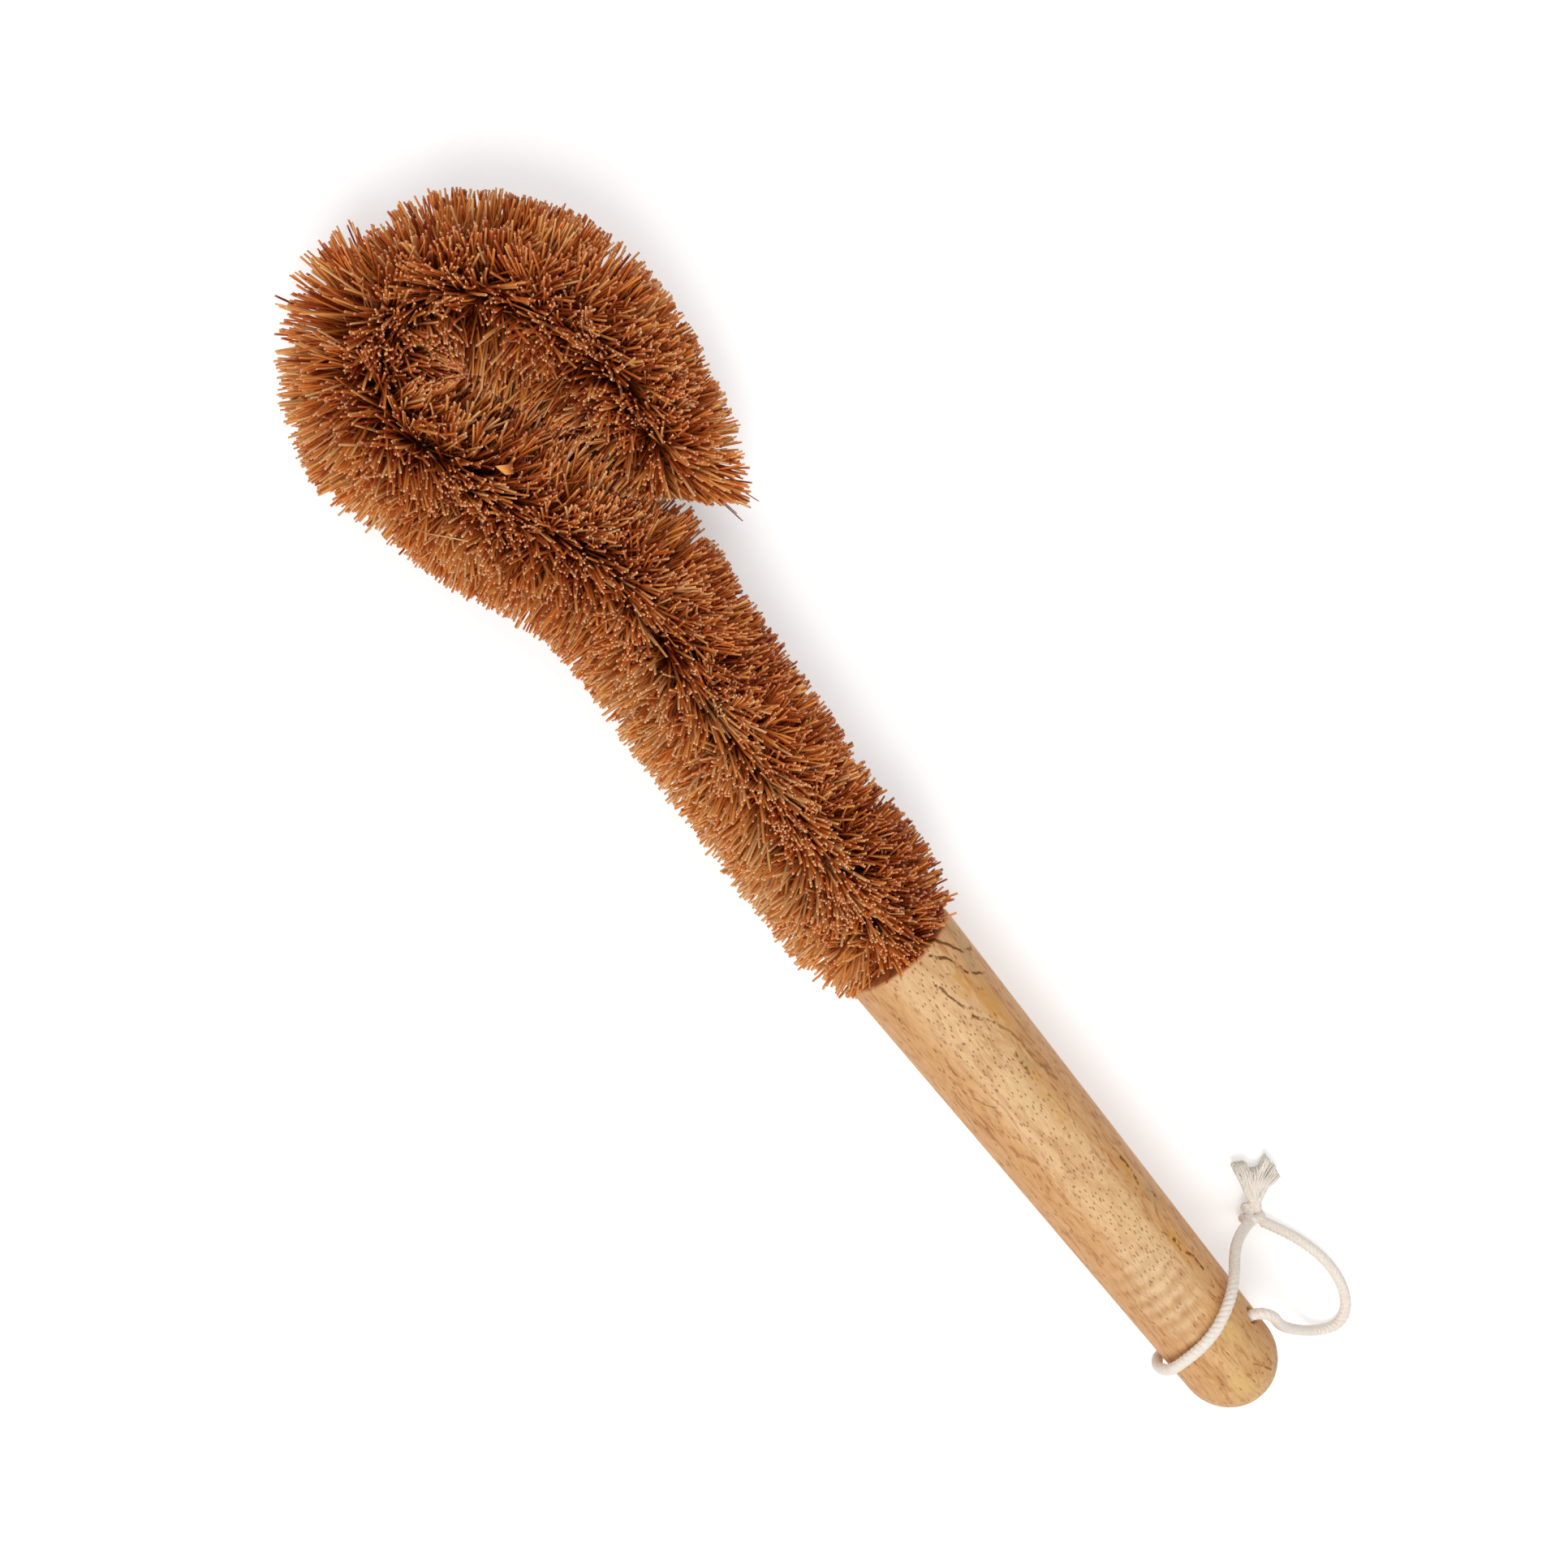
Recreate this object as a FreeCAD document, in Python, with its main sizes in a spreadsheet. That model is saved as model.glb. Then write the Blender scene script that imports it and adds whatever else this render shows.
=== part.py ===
import FreeCAD, Part

# Coir bottle brush. Coconut fibres are gripped in a twisted wire, the wire is bent round into a
# ring at the head, and its shank is pressed into a turned wooden handle with a tied cotton cord.
# Millimetres. The handle lies along X with the head towards +X, and the brush rests on its
# bristles on the floor at z = 0. Every piece is drawn about the handle's axis, with x = 0 at the
# handle's flat end, and then moved so that the origin is on the floor under the middle.

import math
import os

import Sketcher

Vector = FreeCAD.Vector
doc = FreeCAD.newDocument("CoirBottleBrush")


# Driving dimensions
SIZES = (
    ("handle_length", 130.0, "flat end to the tip of the butt"),
    ("handle_top_diameter", 25.0, "at the flat end, against the bristles"),
    ("handle_butt_diameter", 21.4, "where the round butt begins"),
    ("handle_edge_round", 0.7, "round on the flat end's rim"),
    ("shank_depth", 28.0, "straight part of the blind bore for the wire"),
    ("shank_clearance", 0.1, "between the twisted wire and its bore, all round"),
    ("drill_point_angle", 118.0, "bottom of the blind bore, degrees"),
    ("cord_hole_diameter", 3.6, "cross hole for the cord"),
    ("cord_hole_from_butt", 17.7, "butt's tip to the cross hole's axis"),
    ("cord_hole_roll", 27.0, "turn of the cross hole about the handle, degrees"),
    ("cord_hole_round", 0.5, "round on the cross hole's mouths"),
    ("wire_diameter", 2.0, "galvanised wire"),
    ("strand_gap", 0.3, "between the two legs, where the fibres are gripped"),
    ("twist_pitch", 12.0, "one full turn of the two legs"),
    ("stem_length", 86.0, "from the handle, bowed slightly"),
    ("stem_turn", -4.5, "turn along the stem in degrees, to the left positive"),
    ("neck_length", 15.5, "bend where the ring begins"),
    ("neck_turn", 28.0, "degrees"),
    ("flank_length", 37.0, "nearly straight side of the ring"),
    ("flank_turn", -13.0, "degrees"),
    ("crown_length", 37.0, "tight half turn at the far end"),
    ("crown_turn", -146.0, "degrees"),
    ("return_length", 52.0, "way back to the neck"),
    ("return_turn", -73.0, "degrees"),
    ("stem_bristle_diameter", 35.2, "over the cut tips along the stem"),
    ("ring_bristle_diameter", 36.4, "over the cut tips round the ring"),
    ("end_bristle_diameter", 31.0, "over the cut tips at the wire's end"),
    ("bristle_gap", 0.3, "between the bristles and what they surround or meet"),
    ("meeting_gap", 0.7, "between bristles of the ring that face each other"),
    ("shoulder_length", 6.0, "over which the bristles spread from the handle's rim"),
    ("tuft_pitch", 5.6, "one row of tufts to the next, along the wire"),
    ("tuft_depth", 4.6, "tips of the tufts to the hollows between rows"),
    ("tuft_notch", 2.6, "tips of the tufts to the notches within a row"),
    ("tuft_unevenness", 2.2, "how much tips differ in reach"),
    ("tuft_lean", 1.5, "how far tips lean along the wire"),
    ("end_fan", 38.0, "how far the last row leans out past the wire's end, degrees"),
    ("fan_length", 12.0, "stretch of wire whose rows lean more and more towards its end"),
    ("dish_share", 0.5, "radius of the parting at the wire's end, to the last row's"),
    ("floor_press", 0.8, "how far the weight presses the stem's bristles flat"),
    ("cord_diameter", 2.5, "twisted cotton cord"),
    ("wrap_clearance", 1.3, "between the cord and the handle it goes over"),
    ("floor_clearance", 0.05, "under the cord and its knot, where they lie"),
    ("knot_diameter", 5.6, "overhand knot"),
    ("knot_stub", 3.2, "knot's centre to the faces where the loop's cord begins"),
    ("tail_length", 9.5, "each frayed end beyond the knot"),
    ("tail_end_diameter", 3.6, "frayed end"),
    ("tail_ahead_turn", -23.0, "the frayed end that points ahead, degrees from the handle's line"),
    ("tail_aside_turn", -60.0, "the frayed end that points aside, degrees from the handle's line"),
)

# How many tufts a row has, how many facets the wire and its tunnel have
TUFTS_PER_ROW = 14
POINTS_PER_ROW = 2 * TUFTS_PER_ROW
POINTS_PER_SIDE = 4
TUNNEL_SIDES = POINTS_PER_ROW // POINTS_PER_SIDE
WIRE_SIDES = 6
STATIONS_PER_TWIST = 6

sheet = doc.addObject("Spreadsheet::Sheet", "Sizes")
for row, (alias, value, meaning) in enumerate(SIZES, start=1):
    sheet.set(f"A{row}", alias)
    sheet.set(f"B{row}", str(value))
    sheet.set(f"C{row}", meaning)
    sheet.setAlias(f"B{row}", alias)
doc.recompute()


def size(alias):
    return float(sheet.get(alias))


# The stem and the ring both lie on the floor, so the thinner of them sets the axis's height
thinner_bristles = min(size("stem_bristle_diameter"), size("ring_bristle_diameter"))
axis_height = thinner_bristles / 2 - size("floor_press")
wire_radius = size("wire_diameter") / 2
strand_offset = wire_radius + size("strand_gap") / 2
twist_radius = strand_offset + wire_radius
cord_radius = size("cord_diameter") / 2


# The wire's axis
BENDS = (
    (size("stem_length"), size("stem_turn")),
    (size("neck_length"), size("neck_turn")),
    (size("flank_length"), size("flank_turn")),
    (size("crown_length"), size("crown_turn")),
    (size("return_length"), size("return_turn")),
)
WIRE_LENGTH = sum(length for length, turn in BENDS)


def spine_at(along):
    """The axis's point, heading in radians and curvature at a distance from the handle's flat end.

    The axis is a chain of arcs in one level plane, and runs on straight before and after them.
    """
    x = y = heading = curvature = 0.0
    left = along
    if left > 0:
        for length, degrees in BENDS:
            step = min(left, length)
            curvature = math.radians(degrees) / length
            half = curvature * step / 2
            chord = step * math.sin(half) / half if half else step
            x += chord * math.cos(heading + half)
            y += chord * math.sin(heading + half)
            heading += 2 * half
            left -= step
            if left <= 0:
                break
    x += left * math.cos(heading)
    y += left * math.sin(heading)
    return Vector(x, y, 0), heading, curvature


def frame_at(along):
    """The axis's point with its forward and leftward directions."""
    point, heading, curvature = spine_at(along)
    forward = Vector(math.cos(heading), math.sin(heading), 0)
    leftward = Vector(-math.sin(heading), math.cos(heading), 0)
    return point, forward, leftward


# Facetted solids
def facetted_solid(points, facets):
    """A closed solid of flat triangles, each a triple of indices into the points."""
    shell = Part.Shape()
    shell.makeShapeFromMesh((points, facets), 0.001)
    solid = Part.Solid(Part.Shell(shell.Faces))
    if solid.Volume < 0:
        solid.reverse()
    return solid


def band(first, second, count, turned=False):
    """Triangles between two rings of points that start at two indices."""
    facets = []
    for k in range(count):
        n = (k + 1) % count
        quad = (first + k, first + n, second + n, second + k)
        if turned:
            quad = quad[::-1]
        facets.append((quad[0], quad[1], quad[2]))
        facets.append((quad[0], quad[2], quad[3]))
    return facets


# Turned wooden handle with its blind bore, cord hole and domed butt
def body_plane(body, role):
    return next(plane for plane in body.Origin.OriginFeatures if plane.Role == role)


def new_sketch(body, name, role):
    sketch = body.newObject("Sketcher::SketchObject", name)
    sketch.AttachmentSupport = [(body_plane(body, role), "")]
    sketch.MapMode = "FlatFace"
    return sketch


def draw_blank(sketch):
    """Half of the turned outline: flat end, taper and round butt, closed along the axis."""
    length = size("handle_length")
    top = size("handle_top_diameter") / 2
    butt = size("handle_butt_diameter") / 2
    shoulder = Vector(butt - length, butt, 0)
    dome = Part.Circle(Vector(butt - length, 0, 0), Vector(0, 0, 1), butt)
    sketch.addGeometry(
        [
            Part.LineSegment(Vector(0, 0, 0), Vector(0, top, 0)),
            Part.LineSegment(Vector(0, top, 0), shoulder),
            Part.ArcOfCircle(dome, math.pi / 2, math.pi),
            Part.LineSegment(Vector(-length, 0, 0), Vector(0, 0, 0)),
        ],
        False,
    )
    flat, taper, arc, axis = range(4)
    sketch.addConstraint(
        [
            Sketcher.Constraint("Coincident", flat, 1, -1, 1),
            Sketcher.Constraint("Coincident", flat, 2, taper, 1),
            Sketcher.Constraint("Coincident", taper, 2, arc, 1),
            Sketcher.Constraint("Coincident", arc, 2, axis, 1),
            Sketcher.Constraint("Coincident", axis, 2, flat, 1),
            Sketcher.Constraint("Vertical", flat),
            Sketcher.Constraint("Horizontal", axis),
            Sketcher.Constraint("PointOnObject", arc, 3, -1),
            Sketcher.Constraint("Vertical", arc, 3, arc, 1),
        ]
    )
    top_radius = sketch.addConstraint(Sketcher.Constraint("DistanceY", flat, 1, flat, 2, top))
    dome_radius = sketch.addConstraint(Sketcher.Constraint("Radius", arc, butt))
    whole = sketch.addConstraint(Sketcher.Constraint("DistanceX", axis, 1, axis, 2, length))
    sketch.setExpression(f"Constraints[{top_radius}]", "Sizes.handle_top_diameter / 2")
    sketch.setExpression(f"Constraints[{dome_radius}]", "Sizes.handle_butt_diameter / 2")
    sketch.setExpression(f"Constraints[{whole}]", "Sizes.handle_length")


def draw_bore(sketch):
    """Half of the shank's blind bore with its drill point."""
    radius = twist_radius + size("shank_clearance")
    depth = size("shank_depth")
    point = radius / math.tan(math.radians(size("drill_point_angle") / 2))
    corners = [
        Vector(0, 0, 0),
        Vector(0, radius, 0),
        Vector(-depth, radius, 0),
        Vector(-depth - point, 0, 0),
    ]
    sides = [Part.LineSegment(corners[k], corners[(k + 1) % 4]) for k in range(4)]
    sketch.addGeometry(sides, False)
    mouth, wall, drill, axis = range(4)
    sketch.addConstraint(
        [
            Sketcher.Constraint("Coincident", mouth, 1, -1, 1),
            Sketcher.Constraint("Coincident", mouth, 2, wall, 1),
            Sketcher.Constraint("Coincident", wall, 2, drill, 1),
            Sketcher.Constraint("Coincident", drill, 2, axis, 1),
            Sketcher.Constraint("Coincident", axis, 2, mouth, 1),
            Sketcher.Constraint("Vertical", mouth),
            Sketcher.Constraint("Horizontal", wall),
            Sketcher.Constraint("Horizontal", axis),
        ]
    )
    bore_radius = sketch.addConstraint(Sketcher.Constraint("DistanceY", mouth, 1, mouth, 2, radius))
    straight = sketch.addConstraint(Sketcher.Constraint("DistanceX", wall, 2, wall, 1, depth))
    tip = sketch.addConstraint(Sketcher.Constraint("DistanceX", drill, 2, wall, 2, point))
    radius_formula = "(Sizes.wire_diameter + Sizes.strand_gap / 2 + Sizes.shank_clearance)"
    sketch.setExpression(f"Constraints[{bore_radius}]", radius_formula)
    sketch.setExpression(f"Constraints[{straight}]", "Sizes.shank_depth")
    sketch.setExpression(
        f"Constraints[{tip}]", f"{radius_formula} / tan(Sizes.drill_point_angle / 2 * 1 deg)"
    )


def draw_cord_hole(sketch):
    """The cross hole's circle, on the handle's axis."""
    radius = size("cord_hole_diameter") / 2
    place = Vector(size("cord_hole_from_butt") - size("handle_length"), 0, 0)
    sketch.addGeometry(Part.Circle(place, Vector(0, 0, 1), radius), False)
    sketch.addConstraint(Sketcher.Constraint("PointOnObject", 0, 3, -1))
    hole_radius = sketch.addConstraint(Sketcher.Constraint("Radius", 0, radius))
    from_top = sketch.addConstraint(Sketcher.Constraint("DistanceX", 0, 3, -1, 1, -place.x))
    sketch.setExpression(f"Constraints[{hole_radius}]", "Sizes.cord_hole_diameter / 2")
    sketch.setExpression(
        f"Constraints[{from_top}]", "Sizes.handle_length - Sizes.cord_hole_from_butt"
    )


def edges_where(shape, wanted):
    """Names of a shape's edges that pass a test."""
    return [f"Edge{k}" for k, edge in enumerate(shape.Edges, start=1) if wanted(edge)]


def make_handle():
    body = doc.addObject("PartDesign::Body", "Handle")
    body.Label = "handle"
    outline = new_sketch(body, "TurnedOutline", "XY_Plane")
    draw_blank(outline)
    doc.recompute()
    blank = body.newObject("PartDesign::Revolution", "TurnedBlank")
    blank.Profile = outline
    blank.ReferenceAxis = (outline, ["H_Axis"])
    blank.Angle = 360
    doc.recompute()

    bore_outline = new_sketch(body, "ShankBoreOutline", "XY_Plane")
    draw_bore(bore_outline)
    bore = body.newObject("PartDesign::Groove", "ShankBore")
    bore.Profile = bore_outline
    bore.ReferenceAxis = (bore_outline, ["H_Axis"])
    bore.Angle = 360
    doc.recompute()

    circle = new_sketch(body, "CordHoleCircle", "XZ_Plane")
    circle.AttachmentOffset = FreeCAD.Placement(
        Vector(0, 0, 0), FreeCAD.Rotation(Vector(1, 0, 0), -size("cord_hole_roll"))
    )
    circle.setExpression("AttachmentOffset.Rotation.Angle", "Sizes.cord_hole_roll * 1 deg")
    circle.setExpression("AttachmentOffset.Rotation.Axis.x", "-1")
    draw_cord_hole(circle)
    hole = body.newObject("PartDesign::Pocket", "CordHole")
    hole.Profile = circle
    hole.Type = "ThroughAll"
    hole.Midplane = True
    doc.recompute()

    rim_radius = size("handle_top_diameter") / 2
    hole_x = size("cord_hole_from_butt") - size("handle_length")
    hole_radius = size("cord_hole_diameter") / 2

    def on_rim(edge):
        box = edge.BoundBox
        return abs(box.XMin) < 0.01 and abs(box.XMax) < 0.01 and abs(box.YMax - rim_radius) < 0.01

    def on_mouth(edge):
        box = edge.BoundBox
        near = abs(box.Center.x - hole_x) < hole_radius and box.XLength > hole_radius
        centre = edge.CenterOfMass
        return near and math.hypot(centre.y, centre.z) > hole_radius

    rim = body.newObject("PartDesign::Fillet", "RimRound")
    rim.Base = (hole, edges_where(hole.Shape, on_rim))
    rim.Radius = size("handle_edge_round")
    rim.setExpression("Radius", "Sizes.handle_edge_round")
    doc.recompute()
    mouths = body.newObject("PartDesign::Fillet", "CordHoleRound")
    mouths.Base = (rim, edges_where(rim.Shape, on_mouth))
    mouths.Radius = size("cord_hole_round")
    mouths.setExpression("Radius", "Sizes.cord_hole_round")
    body.Tip = mouths
    doc.recompute()
    return body


# Twisted wire: one wire doubled into a hairpin, its legs twisted together round the axis
def strand_path():
    """The wire's own centreline, out along one leg, round the hairpin and back along the other."""
    first = wire_radius - size("shank_depth")
    last = WIRE_LENGTH - twist_radius - wire_radius
    stations = round((last - first) / size("twist_pitch") * STATIONS_PER_TWIST)

    def leg(side):
        points = []
        for k in range(stations + 1):
            along = first + (last - first) * k / stations
            point, forward, leftward = frame_at(along)
            angle = 2 * math.pi * along / size("twist_pitch") + side
            out = leftward * math.cos(angle) + Vector(0, 0, 1) * math.sin(angle)
            points.append(point + out * strand_offset)
        return points

    out_leg = leg(0)
    back_leg = leg(math.pi)[::-1]
    tip, forward, leftward = frame_at(last)
    outward = (out_leg[-1] - tip).normalize()
    hairpin = tip + forward * wire_radius
    bend = []
    for degrees in (0, 45, 90, 135, 180):
        angle = math.radians(degrees)
        offset = outward * math.cos(angle) + forward * math.sin(angle)
        bend.append(hairpin + offset * strand_offset)
    return out_leg + bend + back_leg


def make_twisted_wire():
    path = strand_path()
    points = []
    across = Vector(0, 0, 1)
    for k, centre in enumerate(path):
        before = path[max(k - 1, 0)]
        after = path[min(k + 1, len(path) - 1)]
        direction = (after - before).normalize()
        across = (across - direction * across.dot(direction)).normalize()
        beside = direction.cross(across)
        for side in range(WIRE_SIDES):
            angle = 2 * math.pi * side / WIRE_SIDES
            offset = across * math.cos(angle) + beside * math.sin(angle)
            points.append(centre + offset * wire_radius)
    facets = []
    for k in range(len(path) - 1):
        facets += band(k * WIRE_SIDES, (k + 1) * WIRE_SIDES, WIRE_SIDES)
    last = (len(path) - 1) * WIRE_SIDES
    for side in range(1, WIRE_SIDES - 1):
        facets.append((0, side + 1, side))
        facets.append((last, last + side, last + side + 1))
    wire = doc.addObject("Part::Feature", "TwistedWire")
    wire.Label = "twisted_wire"
    wire.Shape = facetted_solid(points, facets)
    return wire


# Coir bristles: rows of tufts round the wire, with a tunnel for it
def scatter(*keys):
    """An even but irregular number from 0 to 1 for each set of keys, always the same."""
    mixed = sum(key * step for key, step in zip(keys, (12.9898, 78.233, 37.719)))
    return abs(math.sin(mixed) * 43758.5453) % 1.0


SPINE_SAMPLES = [(k * 2.0, spine_at(k * 2.0)[0]) for k in range(int(WIRE_LENGTH / 2) + 1)]
# Share of the way to a bend's middle that bristles inside it reach
INSIDE_OF_BEND = 0.9
# Turn of each row's tufts beyond the row before, in tufts
ROW_STAGGER = 0.19


def keep_own_side(point, along):
    """Draws a point back towards its own stretch of wire where another arm of the ring is nearer."""
    own, heading, curvature = spine_at(along)
    # wire further along than the bristles are wide is another arm of the ring
    arm_apart = size("ring_bristle_diameter")
    others = [other for s, other in SPINE_SAMPLES if abs(s - along) > arm_apart]
    flat = Vector(point.x - own.x, point.y - own.y, 0)

    def is_own(share):
        place = own + flat * share
        nearest = min(place.distanceToPoint(other) for other in others)
        return nearest >= flat.Length * share + size("meeting_gap")

    if is_own(1.0):
        return point
    low, high = 0.0, 1.0
    for step in range(12):
        middle = (low + high) / 2
        if is_own(middle):
            low = middle
        else:
            high = middle
    kept = own + flat * low
    return Vector(kept.x, kept.y, point.z)


def row_reach(along):
    """The bristles' full radius: up from the handle's rim, wider round the ring, less at the end."""
    rim = size("handle_top_diameter") / 2 + size("bristle_gap")
    stem = size("stem_bristle_diameter") / 2
    ring = size("ring_bristle_diameter") / 2
    end = size("end_bristle_diameter") / 2
    shoulder = min(along / size("shoulder_length"), 1.0)
    widening = min(max(along - size("stem_length"), 0) / size("neck_length"), 1.0)
    homeward = min(max(along - WIRE_LENGTH + size("return_length"), 0) / size("return_length"), 1.0)
    body = stem + (ring - stem) * widening + (end - ring) * homeward
    return rim + (body - rim) * math.sqrt(1 - (1 - shoulder) ** 2)


def fan_at(along):
    """How far the fibres lean out towards the wire's end, in radians, as the last rows do."""
    share = max(0.0, 1 - (WIRE_LENGTH - along) / size("fan_length"))
    return math.radians(size("end_fan")) * share


def bristle_point(along, angle, radius, lean):
    """A point at a radius and turn about the wire, kept off the floor and the bend's middle."""
    centre, forward, leftward = frame_at(along)
    curvature = spine_at(along)[2]
    side = radius * math.cos(angle) * math.cos(fan_at(along))
    if curvature * side > INSIDE_OF_BEND:
        side = INSIDE_OF_BEND / curvature
    onward = lean * max(0.0, 1 - curvature * side) + radius * math.sin(fan_at(along))
    point = centre + leftward * side + forward * onward
    point.z = max(radius * math.sin(angle) * math.cos(fan_at(along)), -axis_height)
    return keep_own_side(point, along)


def row_turn(row):
    """Each row's tufts stand a little further round than those of the row before."""
    return row * ROW_STAGGER * 2 * math.pi / TUFTS_PER_ROW


def tuft_points(row, along, ridge):
    """One ring of outer points: tips and notches on a ridge, or the hollow between two rows."""
    reach = row_reach(along)
    points = []
    for k in range(POINTS_PER_ROW):
        uneven = size("tuft_unevenness") * scatter(row, k, 1) ** 2
        notch = size("tuft_notch") * (k % 2)
        radius = reach - size("tuft_depth") - uneven / 2
        lean = 0.0
        if ridge:
            radius = reach - uneven - notch
        if ridge and row > 0:
            lean = size("tuft_lean") * (2 * scatter(row, k, 2) - 1)
        angle = 2 * math.pi * k / POINTS_PER_ROW + row_turn(row)
        points.append(bristle_point(along, angle, radius, lean))
    return points


def dish_points(row):
    """The ring inside the last tufts, where the end's fibres part round the wire."""
    reach = row_reach(WIRE_LENGTH) * size("dish_share")
    points = []
    for k in range(POINTS_PER_ROW):
        angle = 2 * math.pi * k / POINTS_PER_ROW + row_turn(row)
        points.append(bristle_point(WIRE_LENGTH, angle, reach, 0.0))
    return points


def tunnel_points(row, along):
    """The facetted tunnel round the wire at one ring, its flats clear of the twisted pair."""
    radius = (twist_radius + size("bristle_gap")) / math.cos(math.pi / TUNNEL_SIDES)
    centre, forward, leftward = frame_at(along)
    points = []
    for k in range(TUNNEL_SIDES):
        middle = k * POINTS_PER_SIDE + (POINTS_PER_SIDE - 1) / 2
        angle = 2 * math.pi * middle / POINTS_PER_ROW + row_turn(row)
        out = leftward * math.cos(angle) + Vector(0, 0, 1) * math.sin(angle)
        points.append(centre + out * radius)
    return points


def end_cap(outer, inner, turned):
    """Triangles from an outer ring to the tunnel's mouth, a few outer points to each inner one."""
    facets = []
    last = POINTS_PER_SIDE - 1
    for k in range(TUNNEL_SIDES):
        near = inner + k
        following = inner + (k + 1) % TUNNEL_SIDES
        start = POINTS_PER_SIDE * k
        ring = [outer + (start + step) % POINTS_PER_ROW for step in range(POINTS_PER_SIDE + 1)]
        facets += [(near, ring[step], ring[step + 1]) for step in range(last)]
        facets.append((near, ring[last], following))
        facets.append((following, ring[last], ring[last + 1]))
    return [facet[::-1] for facet in facets] if turned else facets


def make_coir_bristles():
    first = size("bristle_gap")
    half_rows = 2 * round((WIRE_LENGTH - first) / size("tuft_pitch"))
    step = (WIRE_LENGTH - first) / half_rows
    stations = [(row, first + step * row) for row in range(half_rows + 1)]
    points = []
    for row, along in stations:
        ridge = row % 2 == 1 or row in (0, half_rows)
        points += tuft_points(row, along, ridge)
    dish_start = len(points)
    points += dish_points(half_rows)
    tunnel_start = len(points)
    for row, along in stations:
        points += tunnel_points(row, along)
    facets = []
    for row in range(half_rows):
        outer = row * POINTS_PER_ROW
        facets += band(outer, outer + POINTS_PER_ROW, POINTS_PER_ROW)
        inner = tunnel_start + row * TUNNEL_SIDES
        facets += band(inner, inner + TUNNEL_SIDES, TUNNEL_SIDES, turned=True)
    facets += band(half_rows * POINTS_PER_ROW, dish_start, POINTS_PER_ROW)
    facets += end_cap(0, tunnel_start, turned=True)
    facets += end_cap(dish_start, tunnel_start + half_rows * TUNNEL_SIDES, turned=False)
    coir = doc.addObject("Part::Feature", "CoirBristles")
    coir.Label = "coir_bristles"
    coir.Shape = facetted_solid(points, facets)
    return coir


# Cotton cord: through the cross hole, over the handle and down to a knot on the floor
def hole_point(outward):
    """A point on the cross hole's axis, at a distance from the handle's axis, left positive."""
    roll = math.radians(size("cord_hole_roll"))
    x = size("cord_hole_from_butt") - size("handle_length")
    return Vector(x, outward * math.cos(roll), -outward * math.sin(roll))


def wrap_point(x, degrees):
    """A point beside the handle, turned up and over it from its right side."""
    share = -x / (size("handle_length") - size("handle_butt_diameter") / 2)
    change = (size("handle_top_diameter") - size("handle_butt_diameter")) / 2
    surface = size("handle_top_diameter") / 2 - change * share
    radius = surface + cord_radius + size("wrap_clearance")
    angle = math.radians(degrees)
    return Vector(x, -radius * math.cos(angle), radius * math.sin(angle))


floor_level = -axis_height
on_floor = floor_level + cord_radius + size("floor_clearance")
knot_height = floor_level + size("knot_diameter") / 2 + size("floor_clearance")
knot_centre = Vector(-106.2, -23.4, knot_height)
CORD_TURNS = [
    Vector(-103.6, -19.2, -8.5),
    Vector(-101.8, -15.3, -1.6),
    wrap_point(-101.5, 33),
    wrap_point(-102.8, 62),
    wrap_point(-105.0, 92),
    wrap_point(-107.6, 134),
    Vector(-109.9, 11.9, 4.6),
    Vector(-110.9, 13.1, -0.4),
    hole_point(12.7),
    hole_point(-12.4),
    Vector(-115.6, -13.0, 5.2),
    Vector(-119.8, -12.9, 1.4),
    Vector(-125.6, -13.4, -4.6),
    Vector(-132.2, -15.1, -10.6),
    Vector(-138.8, -18.4, -15.2),
    Vector(-141.9, -23.6, on_floor),
    Vector(-139.4, -27.9, on_floor),
    Vector(-133.0, -30.2, on_floor),
    Vector(-125.5, -30.2, on_floor),
    Vector(-118.2, -28.4, on_floor),
    Vector(-111.8, -25.8, on_floor + 0.3),
]


def knot_exit(towards):
    """Where the loop's cord leaves the knot, towards another point."""
    return knot_centre + (towards - knot_centre).normalize() * size("knot_stub")


def rounded_wire(points, share=0.45):
    """Straight runs joined by tangent arcs that take up a share of the shorter run beside them."""
    edges = []
    start = points[0]
    for k in range(1, len(points) - 1):
        back = points[k - 1] - points[k]
        onward = points[k + 1] - points[k]
        reach = share * min(back.Length, onward.Length)
        half_turn = (math.pi - back.getAngle(onward)) / 2
        arc_start = points[k] + back.normalize() * reach
        arc_end = points[k] + onward.normalize() * reach
        radius = reach / math.tan(half_turn)
        inward = (back + onward).normalize()
        centre = points[k] + inward * (radius / math.cos(half_turn))
        middle = centre - inward * radius
        edges.append(Part.LineSegment(start, arc_start).toShape())
        edges.append(Part.Arc(arc_start, middle, arc_end).toShape())
        print(f"cord bend {k}: radius {radius:.1f}, turn {math.degrees(2 * half_turn):.0f}")
        start = arc_end
    edges.append(Part.LineSegment(start, points[-1]).toShape())
    return Part.Wire(edges)


def make_hanging_cord():
    path = rounded_wire([knot_exit(CORD_TURNS[0]), *CORD_TURNS, knot_exit(CORD_TURNS[-1])])
    start = path.OrderedEdges[0]
    direction = start.tangentAt(start.FirstParameter)
    section = Part.Wire(Part.makeCircle(cord_radius, knot_exit(CORD_TURNS[0]), direction))
    tube = path.makePipeShell([section], True, False)
    area = math.pi * cord_radius**2
    print(f"cord volume {tube.Volume:.1f}, section times length {area * path.Length:.1f}")
    print(f"cord length between knot faces {path.Length:.1f}")
    cord = doc.addObject("Part::Feature", "HangingCord")
    cord.Label = "hanging_cord"
    cord.Shape = tube
    return cord


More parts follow.
